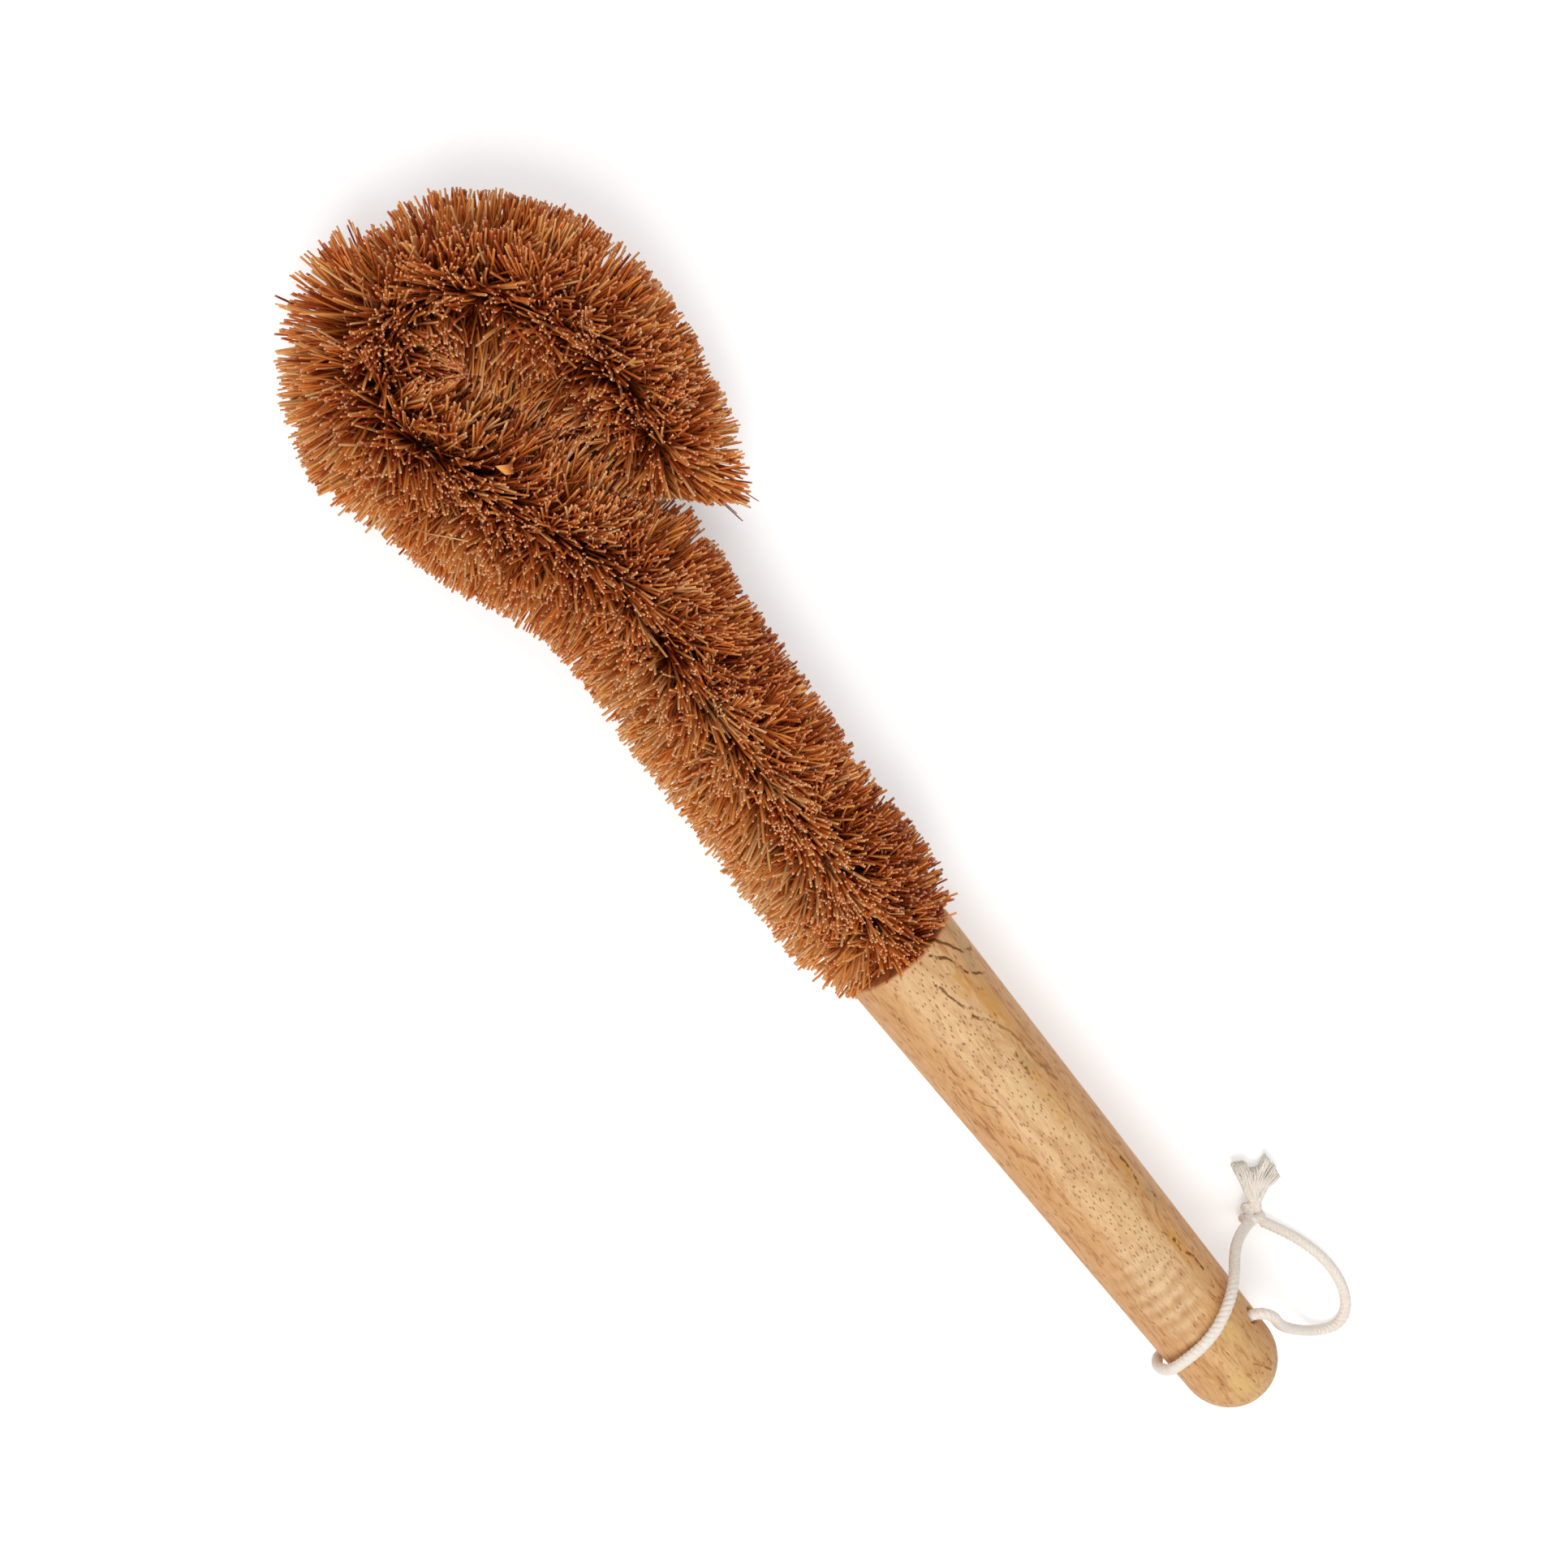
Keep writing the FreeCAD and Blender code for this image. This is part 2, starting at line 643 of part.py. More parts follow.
# Overhand knot with its four cord ends: two into the loop and two frayed tails
def turned_to(base, direction):
    """A placement at a point with its local Z along a direction."""
    return FreeCAD.Placement(base, FreeCAD.Rotation(Vector(0, 0, 1), direction))


def make_cord_knot():
    core = doc.addObject("Part::Sphere", "KnotCore")
    core.setExpression("Radius", "Sizes.knot_diameter / 2")
    seam_clear_of_ends = FreeCAD.Rotation(Vector(0, 0, 1), 120)
    core.Placement = FreeCAD.Placement(knot_centre, seam_clear_of_ends)
    pieces = [core]
    for name, towards in (("StubUp", CORD_TURNS[0]), ("StubRound", CORD_TURNS[-1])):
        stub = doc.addObject("Part::Cylinder", name)
        stub.setExpression("Radius", "Sizes.cord_diameter / 2")
        stub.setExpression("Height", "Sizes.knot_stub")
        stub.Placement = turned_to(knot_centre, towards - knot_centre)
        pieces.append(stub)
    drop = knot_height - floor_level - size("tail_end_diameter") / 2 - size("floor_clearance")
    for name, turn in (("TailAhead", "tail_ahead_turn"), ("TailAside", "tail_aside_turn")):
        angle = math.radians(size(turn))
        reach = size("knot_diameter") / 2 + size("tail_length")
        level = math.sqrt(reach**2 - drop**2)
        end = Vector(level * math.cos(angle), level * math.sin(angle), -drop)
        tail = doc.addObject("Part::Cone", name)
        tail.setExpression("Radius1", "Sizes.cord_diameter / 2")
        tail.setExpression("Radius2", "Sizes.tail_end_diameter / 2")
        tail.setExpression("Height", "Sizes.knot_diameter / 2 + Sizes.tail_length")
        tail.Placement = turned_to(knot_centre, end)
        pieces.append(tail)
    knot = doc.addObject("Part::MultiFuse", "CordKnot")
    knot.Label = "cord_knot"
    knot.Shapes = pieces
    doc.recompute()
    return knot


handle = make_handle()
twisted_wire = make_twisted_wire()
coir_bristles = make_coir_bristles()
hanging_cord = make_hanging_cord()
cord_knot = make_cord_knot()
pieces = [handle, twisted_wire, coir_bristles, hanging_cord, cord_knot]
doc.recompute()

# The origin goes under the middle of the brush without its cord, at floor level
box = handle.Shape.BoundBox
box.add(coir_bristles.Shape.BoundBox)
to_origin = FreeCAD.Placement(Vector(-box.Center.x, -box.Center.y, axis_height), FreeCAD.Rotation())
for piece in pieces:
    piece.Placement = to_origin
doc.recompute()
print(f"moved by {-box.Center.x:.3f}, {-box.Center.y:.3f}, {axis_height:.3f}")

for item in doc.Objects:
    if "Invalid" in item.State or "Error" in item.State:
        raise RuntimeError(f"{item.Name} failed: {item.State}")
os.makedirs("parts", exist_ok=True)
for piece in pieces:
    shape = piece.Shape
    if shape.isNull() or not shape.isValid():
        raise RuntimeError(f"{piece.Label} has no valid shape")
    print(f"{piece.Label}: {len(shape.Solids)} solid, {shape.Volume:.0f} cubic mm, {shape.BoundBox}")
    shape.exportStep(os.path.join("parts", f"{piece.Label}.step"))
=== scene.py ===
import math

import bmesh
import bpy
import numpy as np
from mathutils import Matrix, Vector


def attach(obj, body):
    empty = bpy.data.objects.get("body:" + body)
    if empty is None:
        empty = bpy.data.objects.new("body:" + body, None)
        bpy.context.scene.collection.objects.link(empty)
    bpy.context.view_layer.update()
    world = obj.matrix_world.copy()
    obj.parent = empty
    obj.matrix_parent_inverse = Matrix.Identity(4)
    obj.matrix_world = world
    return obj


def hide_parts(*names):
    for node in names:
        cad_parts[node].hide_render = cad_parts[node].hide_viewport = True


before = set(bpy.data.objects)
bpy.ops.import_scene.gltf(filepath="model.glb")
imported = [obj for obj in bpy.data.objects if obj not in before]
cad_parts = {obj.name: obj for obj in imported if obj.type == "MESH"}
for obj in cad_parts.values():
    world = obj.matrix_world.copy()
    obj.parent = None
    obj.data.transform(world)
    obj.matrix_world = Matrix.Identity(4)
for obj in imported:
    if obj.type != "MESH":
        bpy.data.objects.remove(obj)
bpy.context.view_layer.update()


# Twisted wire
# One galvanised steel wire is doubled into a hairpin round the coconut fibres and its legs are
# twisted together, which grips them. Its shank is pressed into the handle, and its head is bent
# round into the ring.

MM = 0.001
UP = np.array([0.0, 0.0, 1.0])
# The middle of the handle's flat end. Distances along the wire start there, and its bends follow
# each other as a length and a turn in degrees, left positive.
HANDLE_END = np.array([-20.267, 7.119, 16.8])
WIRE_BENDS = ((86.0, -4.5), (15.5, 28.0), (37.0, -13.0), (37.0, -146.0), (52.0, -73.0))
WIRE_LENGTH = sum(length for length, turn in WIRE_BENDS)
WIRE_DIAMETER = 2.0
# How far each leg lies from the middle of the twist, and the length in which it goes round once
LEG_OFFSET = 1.15
TWIST_PITCH = 12.0
SHANK_DEPTH = 28.0


def wire_axis(along):
    """Points, headings and curvatures of the wire's axis at distances from the handle's end, in mm."""
    along = np.asarray(along, float)
    x = np.minimum(along, 0.0)
    y = np.zeros_like(along)
    heading = np.zeros_like(along)
    curvature = np.zeros_like(along)
    left = np.maximum(along, 0.0)
    for length, degrees in WIRE_BENDS:
        step = np.minimum(left, length)
        bend = math.radians(degrees) / length
        half = bend * step / 2
        chord = step * np.sinc(half / math.pi)
        x = x + chord * np.cos(heading + half)
        y = y + chord * np.sin(heading + half)
        heading = heading + 2 * half
        curvature = np.where(left > 0, bend, curvature)
        left = left - step
    x = x + left * np.cos(heading)
    y = y + left * np.sin(heading)
    points = np.stack([x, y, np.zeros_like(x)], axis=-1) + HANDLE_END
    return points, heading, curvature


def across_axis(heading):
    """Forward and leftward directions for headings."""
    forward = np.stack([np.cos(heading), np.sin(heading), np.zeros_like(heading)], axis=-1)
    leftward = np.stack([-np.sin(heading), np.cos(heading), np.zeros_like(heading)], axis=-1)
    return forward, leftward


def round_wire(leftward, turn):
    """Directions away from the wire, turned from its left side up and over."""
    return leftward * np.cos(turn)[..., None] + UP * np.sin(turn)[..., None]


def in_scene(name, data):
    """A new object in the scene that holds a mesh, a curve, a lamp or a camera."""
    made = bpy.data.objects.new(name, data)
    bpy.context.scene.collection.objects.link(made)
    return made


def lines_object(name, lines, tint):
    """A mesh of edges along several lines of points in mm, with a tint kept on each point."""
    points = np.concatenate(lines) * MM
    edges = []
    start = 0
    for line in lines:
        steps = np.arange(start, start + len(line) - 1)
        edges.append(np.stack([steps, steps + 1], axis=1))
        start += len(line)
    mesh = bpy.data.meshes.new(name)
    mesh.from_pydata(points, np.concatenate(edges), [])
    layer = mesh.attributes.new("tint", "FLOAT", "POINT")
    layer.data.foreach_set("value", np.asarray(tint, np.float32))
    return in_scene(name, mesh)


def socket(tree, name, kind, value, way="INPUT"):
    """A named input or output on a node tree."""
    made = tree.interface.new_socket(name=name, in_out=way, socket_type=kind)
    if value is not None:
        made.default_value = value


def feed(tree, node, inputs):
    """Sets a node's inputs to plain values, or links them to what other nodes put out."""
    for name, value in inputs.items():
        if isinstance(value, bpy.types.NodeSocket):
            tree.links.new(value, node.inputs[name])
        else:
            node.inputs[name].default_value = value
    return node


def add_node(tree, kind, inputs=None, **settings):
    """A new node with these settings and inputs."""
    node = tree.nodes.new(kind)
    for name, value in settings.items():
        setattr(node, name, value)
    return feed(tree, node, inputs or {})


def calculate(tree, operation, *values, clamp=False):
    """The result of a math node fed by sockets or plain numbers."""
    inputs = dict(enumerate(values))
    return add_node(tree, "ShaderNodeMath", inputs, operation=operation, use_clamp=clamp).outputs[0]


def keep_value(tree, domain, name, geometry, value):
    """Geometry that keeps a value for each of its lines or points, and that value."""
    node = add_node(tree, "GeometryNodeCaptureAttribute", domain=domain)
    node.capture_items.new("FLOAT", name)
    feed(tree, node, {"Geometry": geometry, name: value})
    return node.outputs["Geometry"], node.outputs[name]


def strand_tree():
    """Geometry nodes that sweep a round section along every line, thinner towards its far end."""
    tree = bpy.data.node_groups.new("swept strands", "GeometryNodeTree")
    socket(tree, "Lines", "NodeSocketGeometry", None)
    socket(tree, "Diameter", "NodeSocketFloat", 0.001)
    socket(tree, "Far end share", "NodeSocketFloat", 1.0)
    socket(tree, "Sides", "NodeSocketInt", 8)
    socket(tree, "Thickness spread", "NodeSocketFloat", 0.0)
    socket(tree, "Seed", "NodeSocketInt", 1)
    socket(tree, "Material", "NodeSocketMaterial", None)
    socket(tree, "Strands", "NodeSocketGeometry", None, way="OUTPUT")
    given = add_node(tree, "NodeGroupInput").outputs
    along = add_node(tree, "GeometryNodeSplineParameter").outputs["Factor"]
    thinner = {"Value": along, "To Min": 1.0, "To Max": given["Far end share"]}
    far_share = add_node(tree, "ShaderNodeMapRange", thinner).outputs["Result"]
    least = calculate(tree, "SUBTRACT", 1.0, given["Thickness spread"])
    most = calculate(tree, "ADD", 1.0, given["Thickness spread"])
    chance = add_node(tree, "FunctionNodeRandomValue", {2: least, 3: most, "Seed": given["Seed"]})
    curves = add_node(tree, "GeometryNodeMeshToCurve", {"Mesh": given["Lines"]}).outputs["Curve"]
    curves, own_share = keep_value(tree, "CURVE", "thickness", curves, chance.outputs[1])
    curves, kept_along = keep_value(tree, "POINT", "along", curves, along)
    radius = calculate(tree, "MULTIPLY", given["Diameter"], 0.5)
    ring = add_node(
        tree, "GeometryNodeCurvePrimitiveCircle", {"Resolution": given["Sides"], "Radius": radius}
    )
    sweep = add_node(
        tree,
        "GeometryNodeCurveToMesh",
        {
            "Curve": curves,
            "Profile Curve": ring.outputs["Curve"],
            "Scale": calculate(tree, "MULTIPLY", far_share, own_share),
            "Fill Caps": True,
        },
    )
    tint = add_node(tree, "GeometryNodeInputNamedAttribute", {"Name": "tint"}, data_type="FLOAT")
    place = add_node(tree, "ShaderNodeCombineXYZ", {"X": tint.outputs["Attribute"], "Y": kept_along})
    store = add_node(
        tree,
        "GeometryNodeStoreNamedAttribute",
        {"Geometry": sweep.outputs["Mesh"], "Name": "UVMap", "Value": place.outputs["Vector"]},
        data_type="FLOAT2",
        domain="CORNER",
    )
    made = store.outputs["Geometry"]
    for kind in ("GeometryNodeSetShadeSmooth", "GeometryNodeRealizeInstances"):
        made = add_node(tree, kind, {"Geometry": made}).outputs["Geometry"]
    finish = add_node(
        tree, "GeometryNodeSetMaterial", {"Geometry": made, "Material": given["Material"]}
    )
    add_node(tree, "NodeGroupOutput", {"Strands": finish.outputs["Geometry"]})
    return tree


SWEPT_STRANDS = strand_tree()


def sweep_strands(name, lines, material, diameter, sides, far_end=1.0, spread=0.0, seed=1, tint=None):
    """Lines in mm made into a plain mesh of round strands, each with its tint if it has one."""
    line_tint = np.full(len(lines), 0.5) if tint is None else tint
    point_tint = np.repeat(line_tint, [len(line) for line in lines])
    rough = lines_object(name + "_lines", lines, point_tint)
    nodes = rough.modifiers.new("strands", "NODES")
    nodes.node_group = SWEPT_STRANDS
    values = {
        "Diameter": diameter * MM,
        "Far end share": float(far_end),
        "Sides": sides,
        "Thickness spread": float(spread),
        "Seed": seed,
        "Material": material,
    }
    for item in SWEPT_STRANDS.interface.items_tree:
        if item.in_out == "INPUT" and item.name in values:
            nodes[item.identifier] = values[item.name]
    bpy.context.view_layer.update()
    evaluated = rough.evaluated_get(bpy.context.evaluated_depsgraph_get())
    mesh = bpy.data.meshes.new_from_object(evaluated)
    mesh.name = name
    bpy.data.objects.remove(rough)
    return in_scene(name, mesh)


def new_material(name):
    """A material, its node tree and its Principled shader."""
    material = bpy.data.materials.new(name)
    material.use_nodes = True
    return material, material.node_tree, material.node_tree.nodes["Principled BSDF"]


def colour_ramp(tree, value, stops):
    """A colour ramp fed by a value, from (place, colour) stops."""
    ramp = add_node(tree, "ShaderNodeValToRGB", {"Fac": value})
    elements = ramp.color_ramp.elements
    while len(elements) < len(stops):
        elements.new(0.5)
    for element, (place, colour) in zip(elements, stops):
        element.position = place
        element.color = (*colour, 1.0)
    return ramp.outputs["Color"]


def noise(tree, place, scale, detail=3.0, distortion=0.0):
    """Noise on a place, with its own scale along each axis."""
    stretched = add_node(tree, "ShaderNodeMapping", {"Vector": place, "Scale": scale})
    kind = {"Scale": 1.0, "Detail": detail, "Distortion": distortion}
    return add_node(
        tree, "ShaderNodeTexNoise", {"Vector": stretched.outputs["Vector"], **kind}
    ).outputs


def galvanised_steel():
    """Dull zinc with small cloudy grains."""
    material, tree, surface = new_material("galvanised_steel")
    where = add_node(tree, "ShaderNodeTexCoord").outputs["Object"]
    grains = noise(tree, where, (900.0, 900.0, 900.0), detail=4.0)["Fac"]
    zinc = colour_ramp(tree, grains, [(0.3, (0.30, 0.30, 0.30)), (0.7, (0.52, 0.52, 0.51))])
    dull = add_node(tree, "ShaderNodeMapRange", {"Value": grains, "To Min": 0.35, "To Max": 0.6})
    feed(tree, surface, {"Base Color": zinc, "Roughness": dull.outputs["Result"], "Metallic": 0.9})
    return material


def hairpin_line():
    """The wire's centreline out along one leg, round the hairpin and back along the other."""
    first = WIRE_DIAMETER / 2 - SHANK_DEPTH
    last = WIRE_LENGTH - LEG_OFFSET - WIRE_DIAMETER
    along = np.linspace(first, last, 340)
    points, heading = wire_axis(along)[:2]
    forward, leftward = across_axis(heading)
    out = round_wire(leftward, 2 * math.pi * along / TWIST_PITCH)
    swing = np.radians(np.arange(15.0, 180.0, 15.0))
    tip = points[-1] + forward[-1] * WIRE_DIAMETER / 2
    bend = tip + LEG_OFFSET * (
        out[-1] * np.cos(swing)[:, None] + forward[-1] * np.sin(swing)[:, None]
    )
    there = points + out * LEG_OFFSET
    back = points - out * LEG_OFFSET
    return np.concatenate([there, bend, back[::-1]])


wire = sweep_strands("twisted_wire_legs", [hairpin_line()], galvanised_steel(), WIRE_DIAMETER, 12)
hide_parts("twisted_wire")
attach(wire, "root")


# Coir bristles
# Stiff fibres from coconut husk, gripped by the wire and cut to a round body with shears. They
# stand in small tufts that lean apart at dark partings, and each fibre has a pale cut end.

FIBRE_DIAMETER = 0.61
STRAY_DIAMETER = 0.34
FIBRES_PER_PIECE = 7600
COIR_PIECES = 4
# The cut body starts at the handle's edge. Its radius on the stem, round the ring and at the end:
HANDLE_RADIUS = 12.5
STEM_RADIUS = 17.3
RING_RADIUS = 18.1
END_RADIUS = 14.7
# Where it changes, as distances along the wire
SHOULDER = (0.0, 12.0)
WIDENING = (40.0, 100.0)
NARROWING = (192.0, 214.0)
# Over this stretch the fibres fan forward to the wire's end, by this angle
FAN_LENGTH = 12.0
END_FAN = 26.0
# The end is cut straight across: a place on the cut, and the direction it faces
END_CUT = ((76.6, -13.6), (-0.734, 0.679))
# Where the shears cut deeper or left more: distance along the wire, how much longer the fibres
# are, over what stretch, and whether on the ring's outside (1) or the other side (-1)
UNEVEN_CUTS = (
    (165.8, -4.6, 5.0, 1.0),
    (158.8, 2.3, 4.4, 1.0),
    (187.0, 0.9, 6.0, 1.0),
    (196.0, 1.0, 3.0, 1.0),
    (108.0, -1.3, 2.6, 1.0),
    (137.0, 1.2, 5.5, 1.0),
    (39.0, 1.0, 3.0, 1.0),
    (5.5, 1.2, 3.0, -1.0),
    (94.0, 1.2, 3.4, -1.0),
)
# Dark partings between tufts: distance along the wire, turn round it in degrees, and push in mm
PARTINGS = (
    (9.0, 110.0, 0.8), (15.5, 103.0, 0.6), (33.0, 106.0, 0.7), (40.5, 109.0, 0.9),
    (48.0, 101.0, 0.7), (58.0, 102.0, 0.7), (70.0, 135.0, 1.9), (69.0, 102.0, 0.8),
    (81.5, 85.0, 2.2), (94.5, 102.0, 2.0), (112.5, 97.0, 2.6), (125.5, 85.0, 2.2),
    (136.5, 96.0, 2.2), (151.0, 93.0, 2.0), (164.5, 84.0, 2.0), (180.0, 87.0, 2.4),
    (196.5, 83.0, 2.2), (208.0, 92.0, 1.4), (216.0, 98.0, 1.8), (225.5, 82.0, 2.0),
)
PARTING_REACH = 4.0
# Tufts and smaller tufts in them: how far apart, seed, sway, pull together and spread of tint
TUFTS = ((5.6, 41, 0.21, 0.034, 0.10), (2.3, 42, 0.16, 0.03, 0.07))
LOOSE_SHARE = 0.17
SHORT_SHARE = 0.45
# An arm of the ring counts as another one past this distance along the wire. The stretches where
# the fibres of two arms mix more or less than elsewhere: from, to, and mm more
OTHER_ARM = 35.0
MIXING = ((165.0, WIRE_LENGTH, 3.5), (120.0, 144.0, -2.5), (92.0, 106.0, 2.5))
# Dusty fibres beside the dimple in the ring, and a pale tuft near its top: place, width, share
PALE_PLACES = (((112.5, 5.0), 4.2, 0.28), ((128.0, -25.5), 2.8, 0.32))
# Long dark strays at the wire's end: where they stop, and the turn round the wire where they start
STRAY_TIPS = (
    ((64.1, -21.6, 8.0), -35.0),
    ((65.9, -21.6, 8.0), -48.0),
    ((65.1, -24.4, 8.0), -25.0),
    ((70.0, -19.2, 8.0), -60.0),
    ((65.1, -26.4, 8.0), -15.0),
)


def blend(tree, share, first, second, way="MIX"):
    """Two colours mixed or multiplied by a share."""
    first, second = ((*c, 1.0) if isinstance(c, tuple) else c for c in (first, second))
    inputs = {0: share, 6: first, 7: second}
    return add_node(tree, "ShaderNodeMix", inputs, data_type="RGBA", blend_type=way).outputs[2]


def coir_fibre():
    """Coconut fibre: red brown to tan from fibre to fibre, pale at the cut, painted shade at the root.
    """
    material, tree, surface = new_material("coir_fibre")
    where = add_node(tree, "ShaderNodeUVMap", uv_map="UVMap").outputs["UV"]
    split = add_node(tree, "ShaderNodeSeparateXYZ", {"Vector": where})
    tint, along = split.outputs["X"], split.outputs["Y"]
    husk = colour_ramp(
        tree,
        tint,
        [
            (0.0, (0.25, 0.036, 0.010)),
            (0.3, (0.60, 0.135, 0.028)),
            (0.6, (0.95, 0.335, 0.070)),
            (0.85, (1.0, 0.510, 0.150)),
            (1.0, (0.97, 0.590, 0.260)),
        ],
    )
    # Painted shade: each fibre grows darker towards its root, where the brush shades itself.
    painted_root_shade = colour_ramp(
        tree,
        along,
        [(0.0, (0.34, 0.19, 0.14)), (0.35, (0.60, 0.43, 0.37)), (0.75, (1.0, 1.0, 1.0))],
    )
    near_tip = {"Value": along, "From Min": 0.960, "From Max": 0.995, "To Max": 0.45}
    cut = add_node(tree, "ShaderNodeMapRange", near_tip)
    darker = blend(tree, 1.0, husk, painted_root_shade, way="MULTIPLY")
    paler = blend(tree, cut.outputs["Result"], darker, (0.93, 0.52, 0.31))
    feed(tree, surface, {"Base Color": paler, "Roughness": 0.5, "Specular IOR Level": 0.14})
    return material


def rise(value, start, full):
    """None up to the start, a growing share on the way, and one past the full end."""
    return np.clip((value - start) / (full - start), 0.0, 1.0)


def bell(value, middle, stretch):
    """One in the middle, and less on both sides."""
    return np.exp(-(((value - middle) / stretch) ** 2))


def coir_reach(along, turn):
    """The cut body's radius along the wire: up from the handle's rim, less towards the end."""
    body = STEM_RADIUS + (RING_RADIUS - STEM_RADIUS) * rise(along, *WIDENING)
    body = body + (END_RADIUS - RING_RADIUS) * rise(along, *NARROWING)
    rim = HANDLE_RADIUS + 0.1
    reach = rim + (body - rim) * (1 - (1 - rise(along, *SHOULDER)) ** 2)
    for place, more, stretch, side in UNEVEN_CUTS:
        beside = np.clip(side * np.cos(turn) * 1.4, 0.0, 1.0)
        reach = reach + beside * more * bell(along, place, stretch)
    return reach


def all_partings():
    """The partings on top and others all round, where the photograph can't show them."""
    rng = np.random.default_rng(23)
    others = []
    while len(others) < 60:
        along, degrees = rng.uniform(0.0, WIRE_LENGTH), rng.uniform(-180.0, 180.0)
        if abs(degrees - 90.0) > 40.0:
            others.append((along, degrees, rng.uniform(0.9, 2.2)))
    return np.array([*PARTINGS, *others])


def round_apart(turn, other, radius):
    """How far round the wire two turns are apart, in mm at a radius, the shorter way."""
    return radius * (np.mod(turn - other + math.pi, 2 * math.pi) - math.pi)


def part_fibres(along, turn):
    """How far each fibre leans from the partings, along and round the wire, and how much is cut."""
    lean, roll, cut = np.zeros((3, len(along)))
    for place, degrees, push in all_partings():
        ahead = along - place
        aside = round_apart(turn, math.radians(degrees), 15.0)
        apart = np.hypot(ahead, aside) + 0.01
        near = apart / PARTING_REACH
        strength = push / 18.0 * near * np.exp(0.5 - 0.5 * near**2)
        lean = lean + strength * ahead / apart
        roll = roll + strength * aside / apart
        cut = np.maximum(cut, 0.20 * push * bell(apart, 0.0, 2.8))
    return lean, roll, cut


def group_fibres(along, turn, spacing, seed, sway, draw):
    """Leans that the fibres of one group share, drawn in towards the group's own middle."""
    rng = np.random.default_rng(seed)
    radius = 17.0
    rows = int(WIRE_LENGTH / spacing) + 1
    columns = int(round(2 * math.pi * radius / spacing))
    row, column = np.meshgrid(np.arange(rows), np.arange(columns), indexing="ij")
    middle_along = (row + rng.uniform(0.1, 0.9, row.shape)) * spacing
    middle_turn = (column + 0.19 * row + rng.uniform(0.1, 0.9, row.shape)) * 2 * math.pi / columns
    middle_along, middle_turn = middle_along.ravel(), middle_turn.ravel()
    wide = round_apart(turn[:, None], middle_turn[None, :], radius)
    nearest = np.hypot(along[:, None] - middle_along[None, :], wide).argmin(axis=1)
    ahead = along - middle_along[nearest]
    aside = round_apart(turn, middle_turn[nearest], radius)
    lean = rng.normal(0.0, sway, len(middle_turn))[nearest] - draw * ahead
    roll = rng.normal(0.0, sway * 0.85, len(middle_turn))[nearest] - draw * aside
    reach = rng.normal(0.0, 1.0, len(middle_turn))[nearest]
    return lean, roll, reach


def tint_fibres_and_paint_light(rng, along, turn):
    """Tints from 0, dark red, to 1, straw: redder on top, and paler on the stem's and ring's left as
    painted light.
    """
    stem = rise(along, 100.0, 70.0)
    left, top = np.cos(turn), np.clip(np.sin(turn), 0.0, 1.0)
    tint = 0.57 + rng.normal(0, 0.23, len(along)) + 0.08 * stem - 0.12 * rise(along, 28.0, 0.0)
    tint = tint - 0.14 * (1 - 1.4 * stem) * top**4
    # Painted light: the stem and the ring are paler on their left, where the light comes from, and
    # darker on their right.
    tint = tint + 0.27 * left * stem
    return tint + (0.13 * left + 0.03) * bell(along, 138.0, 20.0)


def ruffle_fibres(rng, along, turn, body, tint):
    """Each fibre's lean along and round the wire, its reach and its tint, from tuft to tuft."""
    count = len(along)
    lean, roll, cut = part_fibres(along, turn)
    reach = body + rng.normal(0.0, 0.26, count)
    for spacing, seed, sway, draw, tint_spread in TUFTS:
        shared = group_fibres(along, turn, spacing, seed, sway, draw)
        lean = lean + shared[0]
        roll = roll + shared[1]
        reach = reach + 0.16 * shared[2]
        tint = tint + tint_spread * shared[2]
    loose = rng.random(count) < LOOSE_SHARE
    lean = lean + rng.normal(0, 0.07, count) + np.where(loose, rng.normal(0, 0.27, count), 0.0)
    roll = roll + rng.normal(0, 0.07, count) + np.where(loose, rng.normal(0, 0.25, count), 0.0)
    # The shears leave no fibre much longer than the rest, and many are shorter
    reach = np.minimum(reach + 0.4, body + 0.8)
    short = rng.random(count) < SHORT_SHARE
    reach = np.where(short, reach * rng.uniform(0.58, 0.96, count), reach)
    reach = reach * (1 - cut)
    # Inside the ring the shears can't reach, and fibres stay longer
    inward = np.clip(-np.cos(turn), 0.0, 1.0) ** 2 * rise(along, 91.0, 98.0)
    return lean, roll, reach + inward * rng.uniform(0.0, 4.5, count), tint


def fan_fibres(rng, along, turn, lean, reach):
    """Stands the fibres up beside the handle, and leans them forward over the wire's end."""
    count = len(along)
    share = np.clip(1 - (WIRE_LENGTH - along) / FAN_LENGTH, 0.0, 1.0)
    on_face = (share > 0.6) & (rng.random(count) < 0.5)
    fan = math.radians(END_FAN) * share + np.where(on_face, rng.uniform(0.0, 0.65, count), 0.0)
    lean = lean * (1 - 0.75 * rise(along, 5.0, 0.0)) + fan
    return fan, lean, reach + 1.9 * share * np.clip(np.cos(turn), 0.0, 1.0)


def stand_fibres(rng, along, turn, lean, reach, fan):
    """The tips of fibres on the bent wire: inside a bend they stop where they meet, and crowd."""
    own, heading, curvature = wire_axis(along)
    forward, leftward = across_axis(heading)
    side = reach * np.cos(turn) * np.cos(lean)
    inner = rng.uniform(0.82, 1.08, len(along)) / np.where(curvature == 0, 1, curvature)
    met = curvature * side > 0.8
    side = np.where(met, np.sign(side) * np.minimum(abs(side), abs(inner)), side)
    crowded = np.clip(1 - curvature * side, 0.0, 1.0)
    onward = reach * np.sin(lean) * np.where(fan > 0.05, 1.0, crowded)
    tips = own + leftward * side[:, None] + forward * onward[:, None]
    tips[:, 2] = HANDLE_END[2] + reach * np.sin(turn) * np.cos(lean)
    return tips


